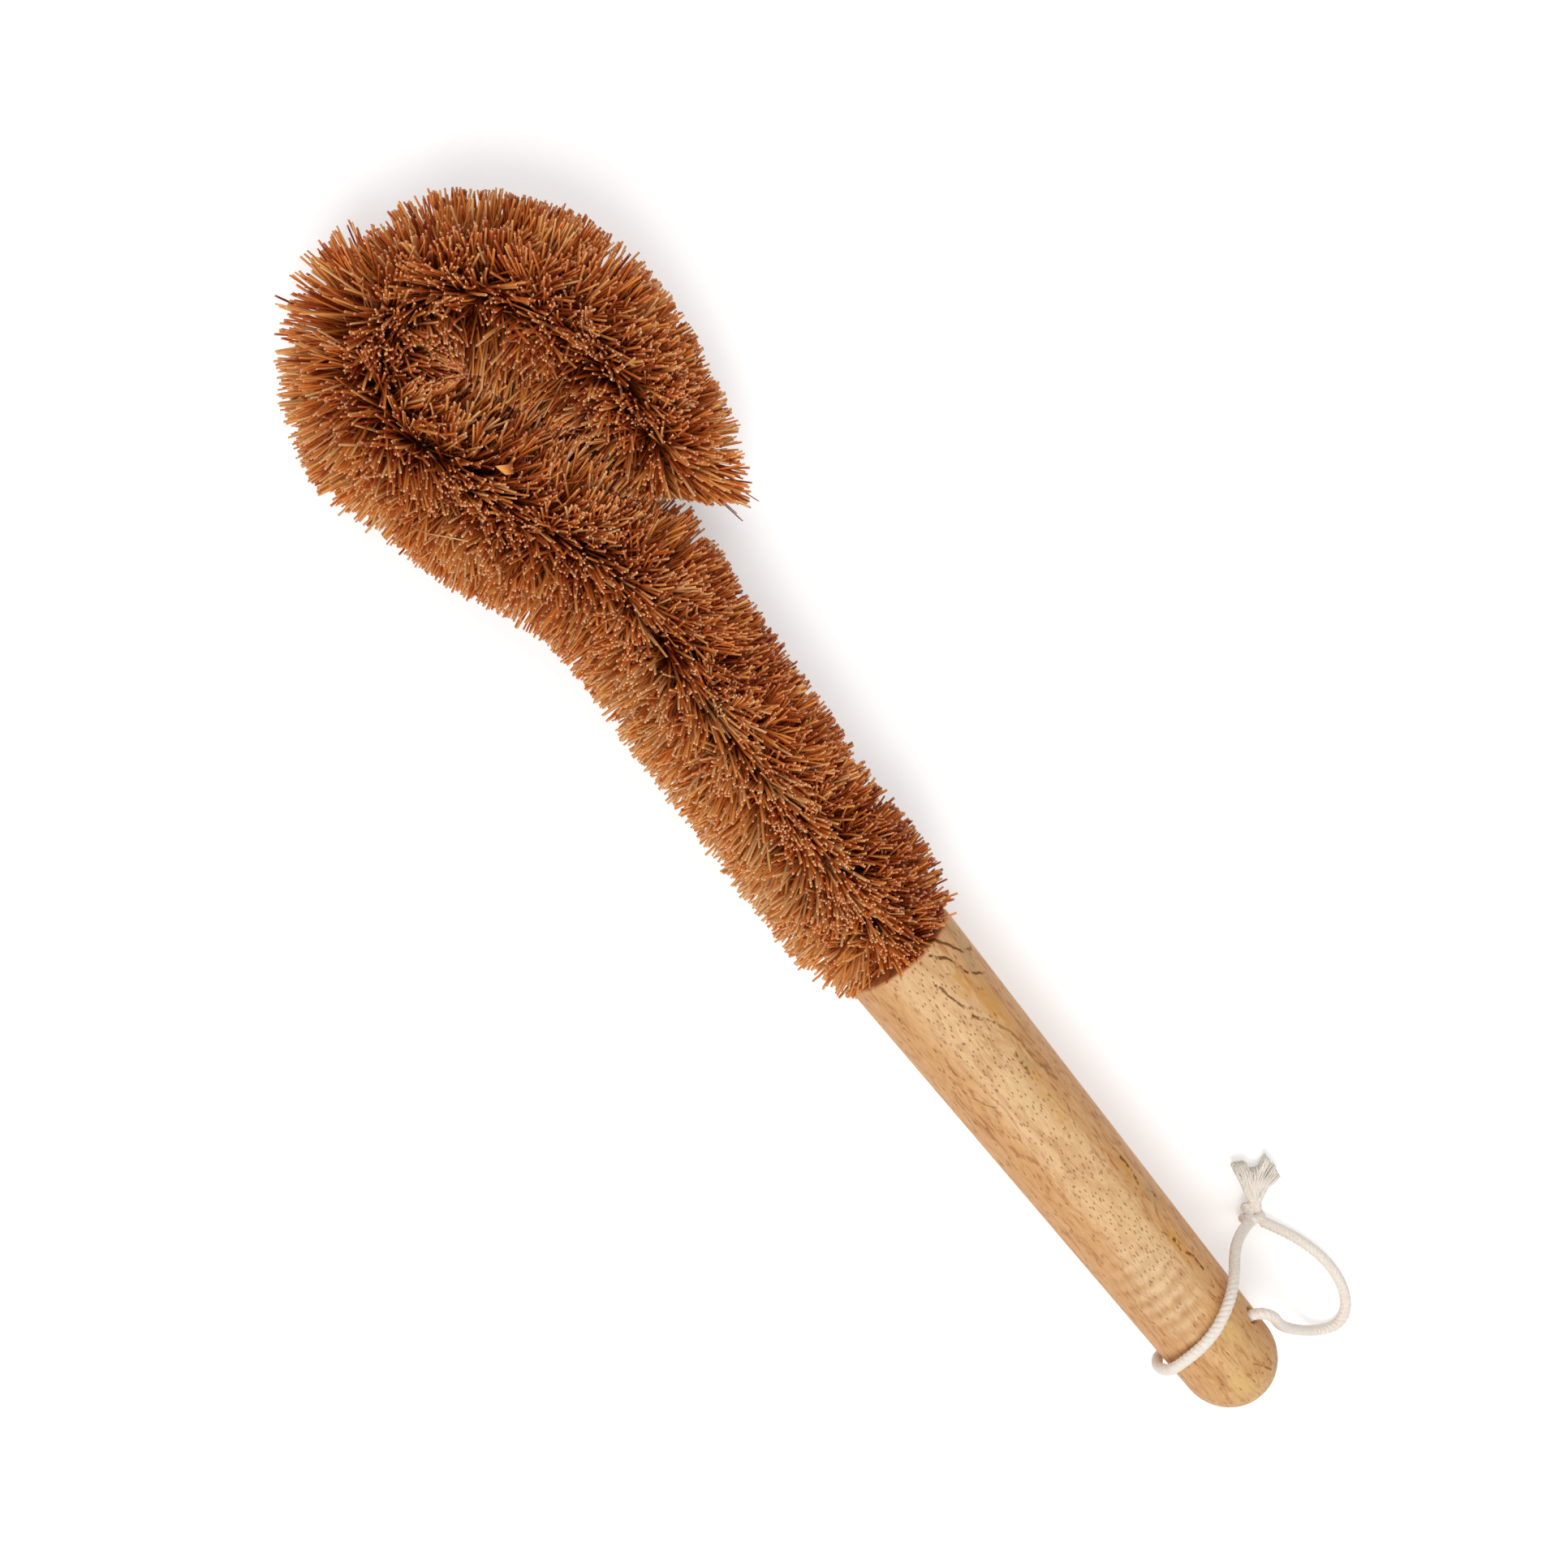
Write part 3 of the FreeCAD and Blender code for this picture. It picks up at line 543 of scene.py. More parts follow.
def keep_to_own_arm(tips, own, along, slack):
    """Draws tips back towards their own wire where another arm of the ring is nearer."""
    samples = np.arange(0.0, WIRE_LENGTH, 1.5)
    others = wire_axis(samples)[0][:, :2]
    flat = tips[:, :2] - own[:, :2]
    reach = np.linalg.norm(flat, axis=1)
    far = np.abs(samples[None, :] - along[:, None]) > OTHER_ARM
    low = np.zeros(len(tips))
    high = np.ones(len(tips))
    share = np.ones(len(tips))
    for _ in range(9):
        place = own[:, :2] + flat * share[:, None]
        apart = np.linalg.norm(place[:, None, :] - others[None, :, :], axis=2)
        nearest = np.where(far, apart, 1000.0).min(axis=1)
        free = nearest >= reach * share - slack
        low = np.where(free, share, low)
        high = np.where(free, high, share)
        share = (low + high) / 2
    kept = np.where(low > 0.99, 1.0, low)
    out = tips.copy()
    out[:, :2] = own[:, :2] + flat * kept[:, None]
    return out, kept


def settle_arms(rng, tips, own, along, turn, reach, body):
    """Where two arms of the ring touch, holds their fibres apart and lifts them to the top."""
    count = len(along)
    slack = np.clip(rng.normal(4.0, 1.6, count), 0.0, 7.5)
    for start, end, more in MIXING:
        slack = slack + np.where((along > start) & (along < end), more, 0.0)
    beside_end = (along > 89.0) & (along < 97.0) & (np.cos(turn) < 0.0)
    slack = slack + np.where(beside_end, 3.5, 0.0)
    tips, kept = keep_to_own_arm(tips, own, along, slack)
    lifted = tips[:, 2] + (1 - kept) * reach * rng.uniform(0.2, 0.75, count)
    level = HANDLE_END[2] + body * rng.uniform(0.45, 0.9, count)
    raised = np.maximum(tips[:, 2], np.minimum(lifted, level))
    tips[:, 2] = np.where(np.sin(turn) > -0.3, raised, tips[:, 2])
    return tips, kept


def cut_end(rng, tips, along):
    """Cuts the fibres near the wire's end to its straight face."""
    place, facing = np.array(END_CUT)
    over = (tips[:, :2] - place) @ facing + rng.uniform(0.0, 0.9, len(along))
    over = np.where(along > WIRE_LENGTH - 22.0, np.maximum(over, 0.0), 0.0)
    tips[:, :2] = tips[:, :2] - over[:, None] * facing


def clear_handle(rng, along, roots, rest):
    """Keeps fibres above the floor and off the handle, apart from a few that hang over its edge."""
    count = len(along)
    x_end = HANDLE_END[0] + rng.uniform(0.25, 0.5, count)
    beside_handle = along < SHOULDER[1]
    overhang = np.where(rng.random(count) < 0.08, rng.uniform(0.0, 1.6, count), 0.1)
    low = rng.uniform(0.25, 0.7, count)
    for places in rest:
        places[:, 2] = np.maximum(places[:, 2], low)
        away = np.hypot(places[:, 1] - HANDLE_END[1], places[:, 2] - HANDLE_END[2])
        inside = beside_handle & (away < HANDLE_RADIUS + 0.8)
        places[:, 0] = np.where(inside, np.maximum(places[:, 0], x_end), places[:, 0])
        outside = beside_handle & ~inside
        places[:, 0] = np.where(outside, np.maximum(places[:, 0], x_end - overhang), places[:, 0])
    roots[:, 0] = np.where(beside_handle, np.maximum(roots[:, 0], x_end), roots[:, 0])


def lay_fibres(first, last, count, seed):
    """Four points from root to tip of each fibre on a stretch of wire, with a tint for each."""
    rng = np.random.default_rng(seed)
    along = rng.uniform(first, last, count)
    turn = rng.uniform(0, 2 * math.pi, count)
    # More fibres show on the outside of the ring's bend, where they fan out
    turn = turn - 0.3 * rise(along, 105.0, 120.0) * np.sin(turn)
    body = coir_reach(along, turn)
    tint = tint_fibres_and_paint_light(rng, along, turn)
    lean, roll, reach, tint = ruffle_fibres(rng, along, turn, body, tint)
    fan, lean, reach = fan_fibres(rng, along, turn, lean, reach)
    tips = stand_fibres(rng, along, turn + roll, lean, reach, fan)
    own, heading = wire_axis(along)[:2]
    tips, kept = settle_arms(rng, tips, own, along, turn, reach, body)
    cut_end(rng, tips, along)

    # Each fibre is a shallow bow from its root in the wire to its tip
    outward = round_wire(across_axis(heading)[1], turn)
    roots = own + outward * 2.3
    bow = (roots + tips) / 2 + rng.normal(0.0, 0.55, (count, 3))
    bow = bow + np.clip((1 - kept)[:, None] * outward * 3.5, -1.8, 1.8)
    between = [roots * (1 - t) ** 2 + bow * 2 * t * (1 - t) + tips * t**2 for t in (0.40, 0.74)]
    clear_handle(rng, along, roots, (*between, tips))

    odd = rng.random(count) < 0.06
    tint = tint + np.where(odd, rng.uniform(-0.35, 0.45, count), 0.0) + 0.05 * (1 - kept)
    for place, stretch, lighter in PALE_PLACES:
        apart = np.linalg.norm(tips[:, :2] - np.array(place), axis=1)
        tint = tint + lighter * bell(apart, 0.0, stretch) * (tips[:, 2] > HANDLE_END[2])
    return np.stack([roots, *between, tips], axis=1), np.clip(tint, 0.01, 0.99)


def on_body(along, degrees, radius):
    """A place on the coir body, from its distance along the wire and turn round it."""
    own, heading = wire_axis(along)[:2]
    return own + radius * round_wire(across_axis(heading)[1], math.radians(degrees))


def single_fibres():
    """The fibres and the flake of husk that stand out in the photograph, each with its tint."""
    rng = np.random.default_rng(7)
    lines, tints = [], []
    for tip, root_turn in STRAY_TIPS:
        root = on_body(WIRE_LENGTH - 4.0, root_turn, 3.0)
        tip = np.array(tip)
        middle = (root + tip) / 2 + rng.normal(0, 0.5, 3)
        lines.append(np.array([root, (root + middle) / 2, (middle + tip) / 2, tip]))
        tints.append(0.05)
    # One pale fibre lies across the others
    lying = [on_body(129.0 - 3.0 * k, 48.0 + 5.0 * k, 18.1 + 0.5 * (k % 3 == 1)) for k in range(4)]
    lines.append(np.array(lying))
    tints.append(0.99)
    # The flake is nine short fibres side by side
    ahead = on_body(123.0, 106.0, 17.6) - on_body(120.6, 113.0, 17.6)
    across = np.cross(ahead, (0.0, 0.0, 1.0)) / np.linalg.norm(ahead)
    for k in range(9):
        start = on_body(120.6, 113.0, 17.5) + across * (0.2 * k - 0.8)
        shares = np.array([0.0, 0.35, 0.7, 1.0]) * (0.5 + 0.06 * k)
        lines.append(start + ahead * shares[:, None])
        tints.append(0.80)
    return lines, np.array(tints)


COIR = coir_fibre()
coir_ends = np.linspace(0.3, WIRE_LENGTH, COIR_PIECES + 1)
for k in range(COIR_PIECES):
    fibres, tint = lay_fibres(coir_ends[k], coir_ends[k + 1], FIBRES_PER_PIECE, 11 + k)
    piece = sweep_strands(
        f"coir_fibres_{k + 1}", list(fibres), COIR, FIBRE_DIAMETER, 3,
        far_end=0.85, spread=0.2, seed=3 + k, tint=tint,
    )
    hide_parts("coir_bristles")
    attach(piece, "root")
strays, tint = single_fibres()
piece = sweep_strands(
    "coir_stray_fibres", strays, COIR, STRAY_DIAMETER, 4, far_end=0.7, spread=0.2, seed=9, tint=tint
)
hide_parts("coir_bristles")
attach(piece, "root")


# Wooden handle
# Turned from pale hardwood with a slight taper and a round butt, drilled for the wire's shank
# and crosswise for the cord, and finished with a thin coat of oil.

# Places on the handle's surface are mm from the flat end, and mm round it from the top, left
# positive, at this radius. Cracks and mineral lines: width, strength, points.
SURFACE_RADIUS = 11.5
WOOD_LINES = (
    (0.50, 0.95, ((0.1, -6.7), (-4.5, -9.2), (-6.8, -10.8), (-8.2, -13.6))),
    (0.46, 0.95, ((-1.3, -3.8), (-5.0, -6.6), (-9.0, -7.6), (-11.8, -9.4), (-13.1, -11.8))),
    (0.42, 0.85, ((-7.0, -1.5), (-10.8, -2.1), (-14.0, -3.0), (-16.9, -3.3), (-21.1, -5.7))),
    (0.50, 0.5, ((-21.1, -5.7), (-25.3, -7.2), (-33.0, -8.0), (-41.0, -9.4))),
    (0.50, 0.85, ((-29.1, -5.3), (-34.1, -4.9))),
    (0.60, 0.9, ((-62.7, -9.8), (-66.2, -9.9), (-69.7, -9.1))),
    (0.62, 0.9, ((-72.5, -10.0), (-75.4, -11.1))),
    (0.56, 0.9, ((-84.1, -7.4), (-87.2, -7.2), (-90.6, -8.6), (-94.2, -8.8))),
    (0.36, 0.5, ((-80.8, -6.2), (-82.6, -6.9))),
    (0.40, 0.5, ((-118.0, -3.8), (-123.0, -6.5))),
    (0.34, 0.5, ((-8.5, 8.3), (-11.1, 9.1))),
    (0.34, 0.5, ((-22.4, 6.8), (-25.4, 6.3))),
    (0.30, 0.5, ((-28.8, 7.8), (-31.4, 7.1), (-35.6, 4.5))),
)
# The curl near the butt, a ripple across the grain: its pitch, middle and size
CURL_PITCH = 3.7
CURL_MIDDLE = (-92.0, 2.5, 0.0)
CURL_SIZE = (17.0, 8.0, 1.0)
# Stained patches: middle, size and colour
AMBER = (0.67, 0.32, 0.065)
DUSKY = (0.52, 0.33, 0.14)
HONEY = (0.74, 0.48, 0.17)
WOOD_PATCHES = (
    ((-10.3, -5.4), (4.5, 2.0), AMBER),
    ((-19.0, -8.0), (8.0, 2.4), AMBER),
    ((-33.6, -5.3), (5.5, 1.3), AMBER),
    ((-44.1, -4.1), (8.0, 1.6), AMBER),
    ((-66.5, -9.0), (7.0, 1.8), AMBER),
    ((-85.2, -7.6), (8.0, 1.7), AMBER),
    ((-3.8, -13.0), (4.5, 3.0), DUSKY),
    ((-9.1, -10.4), (3.6, 1.7), DUSKY),
    ((-31.9, -5.8), (3.0, 1.2), DUSKY),
    ((-74.0, -10.2), (4.0, 1.4), DUSKY),
    ((-107.9, -3.6), (6.0, 2.6), HONEY),
    ((-119.6, 1.3), (5.0, 3.2), HONEY),
)


def calculate_vector(tree, operation, *values, scale=None):
    """The result of a vector math node: a number for a dot product or a length."""
    inputs = dict(enumerate(values))
    if scale is not None:
        inputs["Scale"] = scale
    made = add_node(tree, "ShaderNodeVectorMath", inputs, operation=operation).outputs
    return made["Value" if operation in ("DOT_PRODUCT", "LENGTH") else "Vector"]


def fade(tree, value, none_at, full_at):
    """A smooth mask from none to full between two values."""
    inputs = {"Value": value, "From Min": none_at, "From Max": full_at}
    node = add_node(tree, "ShaderNodeMapRange", inputs, interpolation_type="SMOOTHSTEP")
    return node.outputs["Result"]


def tinge(tree, tone, mask, strength, colour):
    """A tone mixed with a colour where a mask says, by up to a strength."""
    return blend(tree, calculate(tree, "MULTIPLY", mask, strength), tone, colour)


def surface_line():
    """A node group that masks a stroke from one place on the surface to another."""
    tree = bpy.data.node_groups.new("surface line", "ShaderNodeTree")
    socket(tree, "Place", "NodeSocketVector", None)
    socket(tree, "Start", "NodeSocketVector", None)
    socket(tree, "End", "NodeSocketVector", None)
    socket(tree, "Width", "NodeSocketFloat", 0.3)
    socket(tree, "Mask", "NodeSocketFloat", None, way="OUTPUT")
    given = add_node(tree, "NodeGroupInput").outputs
    away = calculate_vector(tree, "SUBTRACT", given["Place"], given["Start"])
    whole = calculate_vector(tree, "SUBTRACT", given["End"], given["Start"])
    shadow = calculate_vector(tree, "DOT_PRODUCT", away, whole)
    square = calculate_vector(tree, "DOT_PRODUCT", whole, whole)
    share = calculate(tree, "DIVIDE", shadow, square, clamp=True)
    reached = calculate_vector(tree, "SCALE", whole, scale=share)
    apart = calculate_vector(tree, "LENGTH", calculate_vector(tree, "SUBTRACT", away, reached))
    core = calculate(tree, "MULTIPLY", given["Width"], 0.2)
    add_node(tree, "NodeGroupOutput", {"Mask": fade(tree, apart, given["Width"], core)})
    return tree


def surface_patch():
    """A node group that masks a soft oval patch on the surface."""
    tree = bpy.data.node_groups.new("surface patch", "ShaderNodeTree")
    socket(tree, "Place", "NodeSocketVector", None)
    socket(tree, "Middle", "NodeSocketVector", None)
    socket(tree, "Size", "NodeSocketVector", None)
    socket(tree, "Mask", "NodeSocketFloat", None, way="OUTPUT")
    given = add_node(tree, "NodeGroupInput").outputs
    away = calculate_vector(tree, "SUBTRACT", given["Place"], given["Middle"])
    apart = calculate_vector(tree, "LENGTH", calculate_vector(tree, "DIVIDE", away, given["Size"]))
    add_node(tree, "NodeGroupOutput", {"Mask": fade(tree, apart, 1.25, 0.3)})
    return tree


def pores(tree, place, cell, size, share):
    """Open pores: short dark dashes, each in its own cell of the surface."""
    slant = {"Scale": (1 / cell[0], 1 / cell[1], 1.0), "Rotation": (0.0, 0.0, math.radians(-3.0))}
    stretched = add_node(tree, "ShaderNodeMapping", {"Vector": place, **slant}).outputs["Vector"]
    cells = add_node(
        tree, "ShaderNodeTexVoronoi", {"Vector": stretched, "Scale": 1.0}, voronoi_dimensions="2D"
    )
    dash = fade(tree, cells.outputs["Distance"], size, size * 0.45)
    chance = add_node(tree, "ShaderNodeSeparateColor", {"Color": cells.outputs["Color"]})
    there = fade(tree, chance.outputs["Red"], 1.0 - share, min(1.2 - share, 1.0))
    return calculate(tree, "MULTIPLY", dash, there)


def oiled_wood():
    """Honey wood with wavy growth lines, curl, open pores, cracks, mineral stains, painted side shade
    and top highlight.
    """
    material, tree, surface = new_material("oiled_wood")
    where = add_node(tree, "ShaderNodeTexCoord").outputs["Object"]
    in_mm = {"Location": tuple(-HANDLE_END), "Scale": (1000.0, 1000.0, 1000.0)}
    solid = add_node(tree, "ShaderNodeMapping", {"Vector": where, **in_mm}).outputs["Vector"]
    split = add_node(tree, "ShaderNodeSeparateXYZ", {"Vector": solid}).outputs
    turn = calculate(tree, "ARCTAN2", split["Y"], split["Z"])
    arc = calculate(tree, "MULTIPLY", turn, SURFACE_RADIUS)
    plain = add_node(tree, "ShaderNodeCombineXYZ", {"X": split["X"], "Y": arc}).outputs["Vector"]
    shake = noise(tree, solid, (0.42, 0.42, 0.42), detail=4.0)["Color"]
    centred = calculate_vector(tree, "SUBTRACT", shake, (0.5, 0.5, 0.5))
    level = calculate_vector(tree, "MULTIPLY", centred, (1.6, 1.2, 0.0))
    wobbly = calculate_vector(tree, "ADD", plain, level)

    # Growth lines, with painted shade darkening them towards the handle's sides, darker towards its
    # butt, and fine streaks among them
    growth = noise(tree, solid, (0.045, 0.22, 0.22), detail=5.0, distortion=2.2)["Fac"]
    tone = colour_ramp(
        tree,
        growth,
        [
            (0.28, (0.500, 0.235, 0.085)),
            (0.38, (0.640, 0.345, 0.145)),
            (0.50, (0.755, 0.465, 0.215)),
            (0.62, (0.800, 0.530, 0.270)),
            (0.74, (0.650, 0.360, 0.150)),
        ],
    )
    # Painted shade: the handle's sides, turned away from the light, are darkened.
    sideways = calculate(tree, "ABSOLUTE", calculate(tree, "ADD", arc, 0.6))
    drift = calculate(tree, "MULTIPLY", growth, 9.0)
    edge = fade(tree, calculate(tree, "ADD", sideways, drift), 6.5, 14.0)
    tone = tinge(tree, tone, edge, 0.72, (0.650, 0.330, 0.135))
    butt = fade(tree, split["X"], -92.0, -118.0)
    tone = tinge(tree, tone, butt, 0.42, (0.640, 0.370, 0.150))
    streaks = noise(tree, solid, (0.15, 0.75, 0.75), detail=5.0, distortion=1.8)["Fac"]
    streak_tone = colour_ramp(
        tree,
        streaks,
        [(0.33, (0.60, 0.40, 0.25)), (0.45, (0.94, 0.88, 0.81)), (0.62, (1.06, 1.06, 1.04))],
    )
    tone = blend(tree, 0.9, tone, streak_tone, way="MULTIPLY")

    # Curl, a ripple of light and dark across the grain
    curl_along = calculate(tree, "MULTIPLY", split["X"], 2 * math.pi / CURL_PITCH)
    curl_turn = calculate(tree, "MULTIPLY_ADD", arc, 0.16, curl_along)
    curl_shake = calculate(tree, "MULTIPLY_ADD", growth, 4.5, curl_turn)
    curl = calculate(tree, "SINE", curl_shake)
    patch_tree = surface_patch()
    place = {"Place": wobbly, "Middle": CURL_MIDDLE, "Size": CURL_SIZE}
    curl_patch = add_node(tree, "ShaderNodeGroup", place, node_tree=patch_tree).outputs["Mask"]
    curl_tone = colour_ramp(
        tree,
        calculate(tree, "MULTIPLY_ADD", curl, 0.5, 0.5),
        [(0.0, (0.54, 0.29, 0.13)), (1.0, (0.83, 0.60, 0.36))],
    )
    tone = tinge(tree, tone, curl_patch, 0.5, curl_tone)

    # Stained patches, broken up by mottling, and tan mottling all over
    mottle = noise(tree, solid, (0.35, 0.8, 0.8), detail=4.0, distortion=1.0)["Fac"]
    stained = fade(tree, mottle, 0.34, 0.58)
    for middle, size, colour in WOOD_PATCHES:
        place = {"Place": wobbly, "Middle": (*middle, 0.0), "Size": (*size, 1.0)}
        patch = add_node(tree, "ShaderNodeGroup", place, node_tree=patch_tree).outputs["Mask"]
        tone = tinge(tree, tone, patch, stained, colour)
    tanned = fade(tree, mottle, 0.53, 0.66)
    tone = tinge(tree, tone, tanned, 0.42, (0.600, 0.310, 0.105))

    # A painted highlight, a paler strip along the top, with small wood pores in it, and larger pores
    # everywhere
    painted_highlight_band = fade(tree, sideways, 6.5, 3.0)
    from_butt = fade(tree, split["X"], -98.0, -84.0)
    painted_highlight_band = calculate(tree, "MULTIPLY", painted_highlight_band, from_butt)
    # Painted highlight: the top of the handle, where the light falls, is made paler.
    tone = tinge(tree, tone, painted_highlight_band, 0.30, (0.860, 0.600, 0.340))
    fine = pores(tree, plain, (2.4, 0.85), 0.20, 0.8)
    fine = calculate(tree, "MULTIPLY", fine, painted_highlight_band)
    coarse = pores(tree, plain, (5.0, 1.5), 0.14, 0.6)
    coarse = calculate(tree, "MULTIPLY", coarse, 0.85)
    holes = calculate(tree, "MAXIMUM", fine, coarse)
    tone = tinge(tree, tone, holes, 0.72, (0.22, 0.085, 0.022))

    # Cracks and mineral lines, each a run of strokes with breaks in it
    line_tree = surface_line()
    breaks = noise(tree, solid, (0.5, 0.5, 0.5), detail=2.0)["Fac"]
    dashes = fade(tree, breaks, 0.36, 0.50)
    lines = None
    for width, strength, points in WOOD_LINES:
        for start, end in zip(points, points[1:]):
            ends = {"Place": wobbly, "Width": width, "Start": (*start, 0.0), "End": (*end, 0.0)}
            stroke = add_node(tree, "ShaderNodeGroup", ends, node_tree=line_tree).outputs["Mask"]
            mask = calculate(tree, "MULTIPLY", stroke, strength)
            lines = mask if lines is None else calculate(tree, "MAXIMUM", lines, mask)
    lines = calculate(tree, "MULTIPLY", lines, dashes)
    tone = blend(tree, lines, tone, (0.155, 0.045, 0.004))

    # The pores are sunk, and pores and cracks are duller than the oiled wood
    sunk = calculate(tree, "MAXIMUM", holes, lines)
    height = calculate(tree, "MULTIPLY_ADD", holes, -1.0, streaks)
    depth = {"Strength": 0.15, "Distance": 0.00012}
    bump = add_node(tree, "ShaderNodeBump", {"Height": height, **depth}).outputs["Normal"]
    satin = fade(tree, sunk, -1.6, 1.4)
    looks = {"Base Color": tone, "Normal": bump, "Roughness": satin, "Specular IOR Level": 0.35}
    feed(tree, surface, looks)
    return material


def merged_copy(node, name, angle):
    """A CAD node's mesh with its triangles joined, smooth apart from its sharp edges."""
    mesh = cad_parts[node].data.copy()
    mesh.name = name
    work = bmesh.new()
    work.from_mesh(mesh)
    bmesh.ops.remove_doubles(work, verts=work.verts, dist=0.000002)
    for face in work.faces:
        face.smooth = True
    for edge in work.edges:
        edge.smooth = len(edge.link_faces) == 2 and edge.calc_face_angle(0.0) < angle
    work.to_mesh(mesh)
    work.free()
    mesh.materials.clear()
    return in_scene(name, mesh)


handle = merged_copy("handle", "turned_handle", math.radians(32))
handle.data.materials.append(oiled_wood())
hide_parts("handle")
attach(handle, "root")


# Hanging cord
# Soft cotton cord of three strands. It goes through the cross hole, over the handle and down to
# the floor, and its two ends are tied together in an overhand knot and left to fray.

CORD_DIAMETER = 2.5
# The three strands: how far out they lie and how thick they are, as shares of the cord's
# diameter, and over what length they go round once
STRAND_SET_OUT = 0.19
STRAND_SHARE = 0.62
LAY_PITCH = 3.6
LINE_STEP = 0.4
# The handle grows thinner by this much from its flat end to where the butt rounds off
HANDLE_TAPER = 1.8
TAPER_LENGTH = 119.3
# The two faces of the knot where the loop's cord leaves it are this far from its centre
KNOT_RADIUS = 3.2
KNOT_CENTRE = np.array([-106.2, -23.4, -13.95]) + HANDLE_END
HOLE_X = -112.3
HOLE_ROLL = math.radians(27.0)


def hole_place(outward):
    """A point on the cross hole's axis, from the handle's axis."""
    return (HOLE_X, outward * math.cos(HOLE_ROLL), -outward * math.sin(HOLE_ROLL))


def wrap_place(x, degrees, clear=1.3):
    """A point beside the handle, turned up and over it from its right side."""
    radius = HANDLE_RADIUS + HANDLE_TAPER * x / TAPER_LENGTH + CORD_DIAMETER / 2 + clear
    angle = math.radians(degrees)
    return (x, -radius * math.cos(angle), radius * math.sin(angle))


CORD_TURNS = [
    (-103.6, -19.2, -8.5),
    (-101.8, -15.3, -1.6),
    wrap_place(-101.5, 33),
    wrap_place(-102.8, 62),
    wrap_place(-105.0, 92),
    wrap_place(-107.6, 134),
    (-109.9, 11.9, 4.6),
    (-110.9, 13.1, -0.4),
    hole_place(12.7),
    hole_place(7.2),
    hole_place(-8.4),
    hole_place(-12.4),
    (-115.6, -13.0, 5.2),
    (-119.8, -12.9, 1.4),
    (-125.6, -13.4, -4.6),
    (-132.2, -15.1, -10.6),
    (-138.8, -18.4, -15.2),
    (-141.9, -23.6, -15.5),
    (-139.4, -27.9, -15.5),
    (-133.0, -30.2, -15.5),
    (-125.5, -30.2, -15.5),
    (-118.2, -28.4, -15.5),
    (-111.8, -25.8, -15.2),
]


def knot_face(towards):
    """Where the loop's cord leaves the knot, towards another point."""
    away = np.array(towards) + HANDLE_END - KNOT_CENTRE
    return KNOT_CENTRE + away / np.linalg.norm(away) * KNOT_RADIUS


def smooth_route(name, points):
    """The points in mm that one smooth curve with these control points passes."""
    curve = bpy.data.curves.new(name, "CURVE")
    curve.dimensions = "3D"
    curve.resolution_u = 10
    spline = curve.splines.new("NURBS")
    spline.points.add(len(points) - 1)
    for point, place in zip(spline.points, points):
        point.co = (*(np.asarray(place) * MM), 1.0)
    spline.order_u = 3
    spline.use_endpoint_u = True
    made = in_scene(name, curve)
    bpy.context.view_layer.update()
    mesh = bpy.data.meshes.new_from_object(made)
    read = np.array([tuple(vertex.co) for vertex in mesh.vertices]) / MM
    bpy.data.meshes.remove(mesh)
    bpy.data.objects.remove(made)
    return read


def evenly(points, step):
    """Points at even steps along a line of points."""
    lengths = np.linalg.norm(np.diff(points, axis=0), axis=1)
    reached = np.concatenate([[0.0], np.cumsum(lengths)])
    wanted = np.linspace(0.0, reached[-1], max(3, int(round(reached[-1] / step)) + 1))
    return np.stack([np.interp(wanted, reached, points[:, axis]) for axis in range(3)], axis=1)


def carried_frame(points):
    """Two directions across a line at each of its points, carried along without twist."""
    ahead = np.gradient(points, axis=0)
    ahead = ahead / np.linalg.norm(ahead, axis=1)[:, None]
    first = np.cross(ahead[0], UP)
    if np.linalg.norm(first) < 0.1:
        first = np.cross(ahead[0], (0.0, 1.0, 0.0))
    across = [first / np.linalg.norm(first)]
    for direction in ahead[1:]:
        carried = across[-1] - direction * np.dot(across[-1], direction)
        across.append(carried / np.linalg.norm(carried))
    across = np.array(across)
    return across, np.cross(ahead, across)


def laid_strands(points, diameter, pitch, start_turn=0.0):
    """Centrelines of three strands laid up round a line of points."""
    across, beside = carried_frame(points)
    lengths = np.linalg.norm(np.diff(points, axis=0), axis=1)
    reached = np.concatenate([[0.0], np.cumsum(lengths)])
    strands = []
    for k in range(3):
        turn = start_turn + 2 * math.pi * (reached / pitch + k / 3)
        out = across * np.cos(turn)[:, None] + beside * np.sin(turn)[:, None]
        strands.append(points + out * diameter * STRAND_SET_OUT)
    return strands


def cotton(name, dark, light, sheen):
    """Undyed cotton: warm white, a little darker from yarn to yarn."""
    material, tree, surface = new_material(name)
    where = add_node(tree, "ShaderNodeTexCoord").outputs["Object"]
    fluff = noise(tree, where, (1400.0, 1400.0, 1400.0))["Fac"]
    tone = colour_ramp(tree, fluff, [(0.25, dark), (0.7, light)])
    feed(tree, surface, {"Base Color": tone, "Roughness": 0.9, "Sheen Weight": sheen})
    return material


COTTON = cotton("cotton", (0.87, 0.76, 0.65), (0.97, 0.90, 0.81), 0.2)
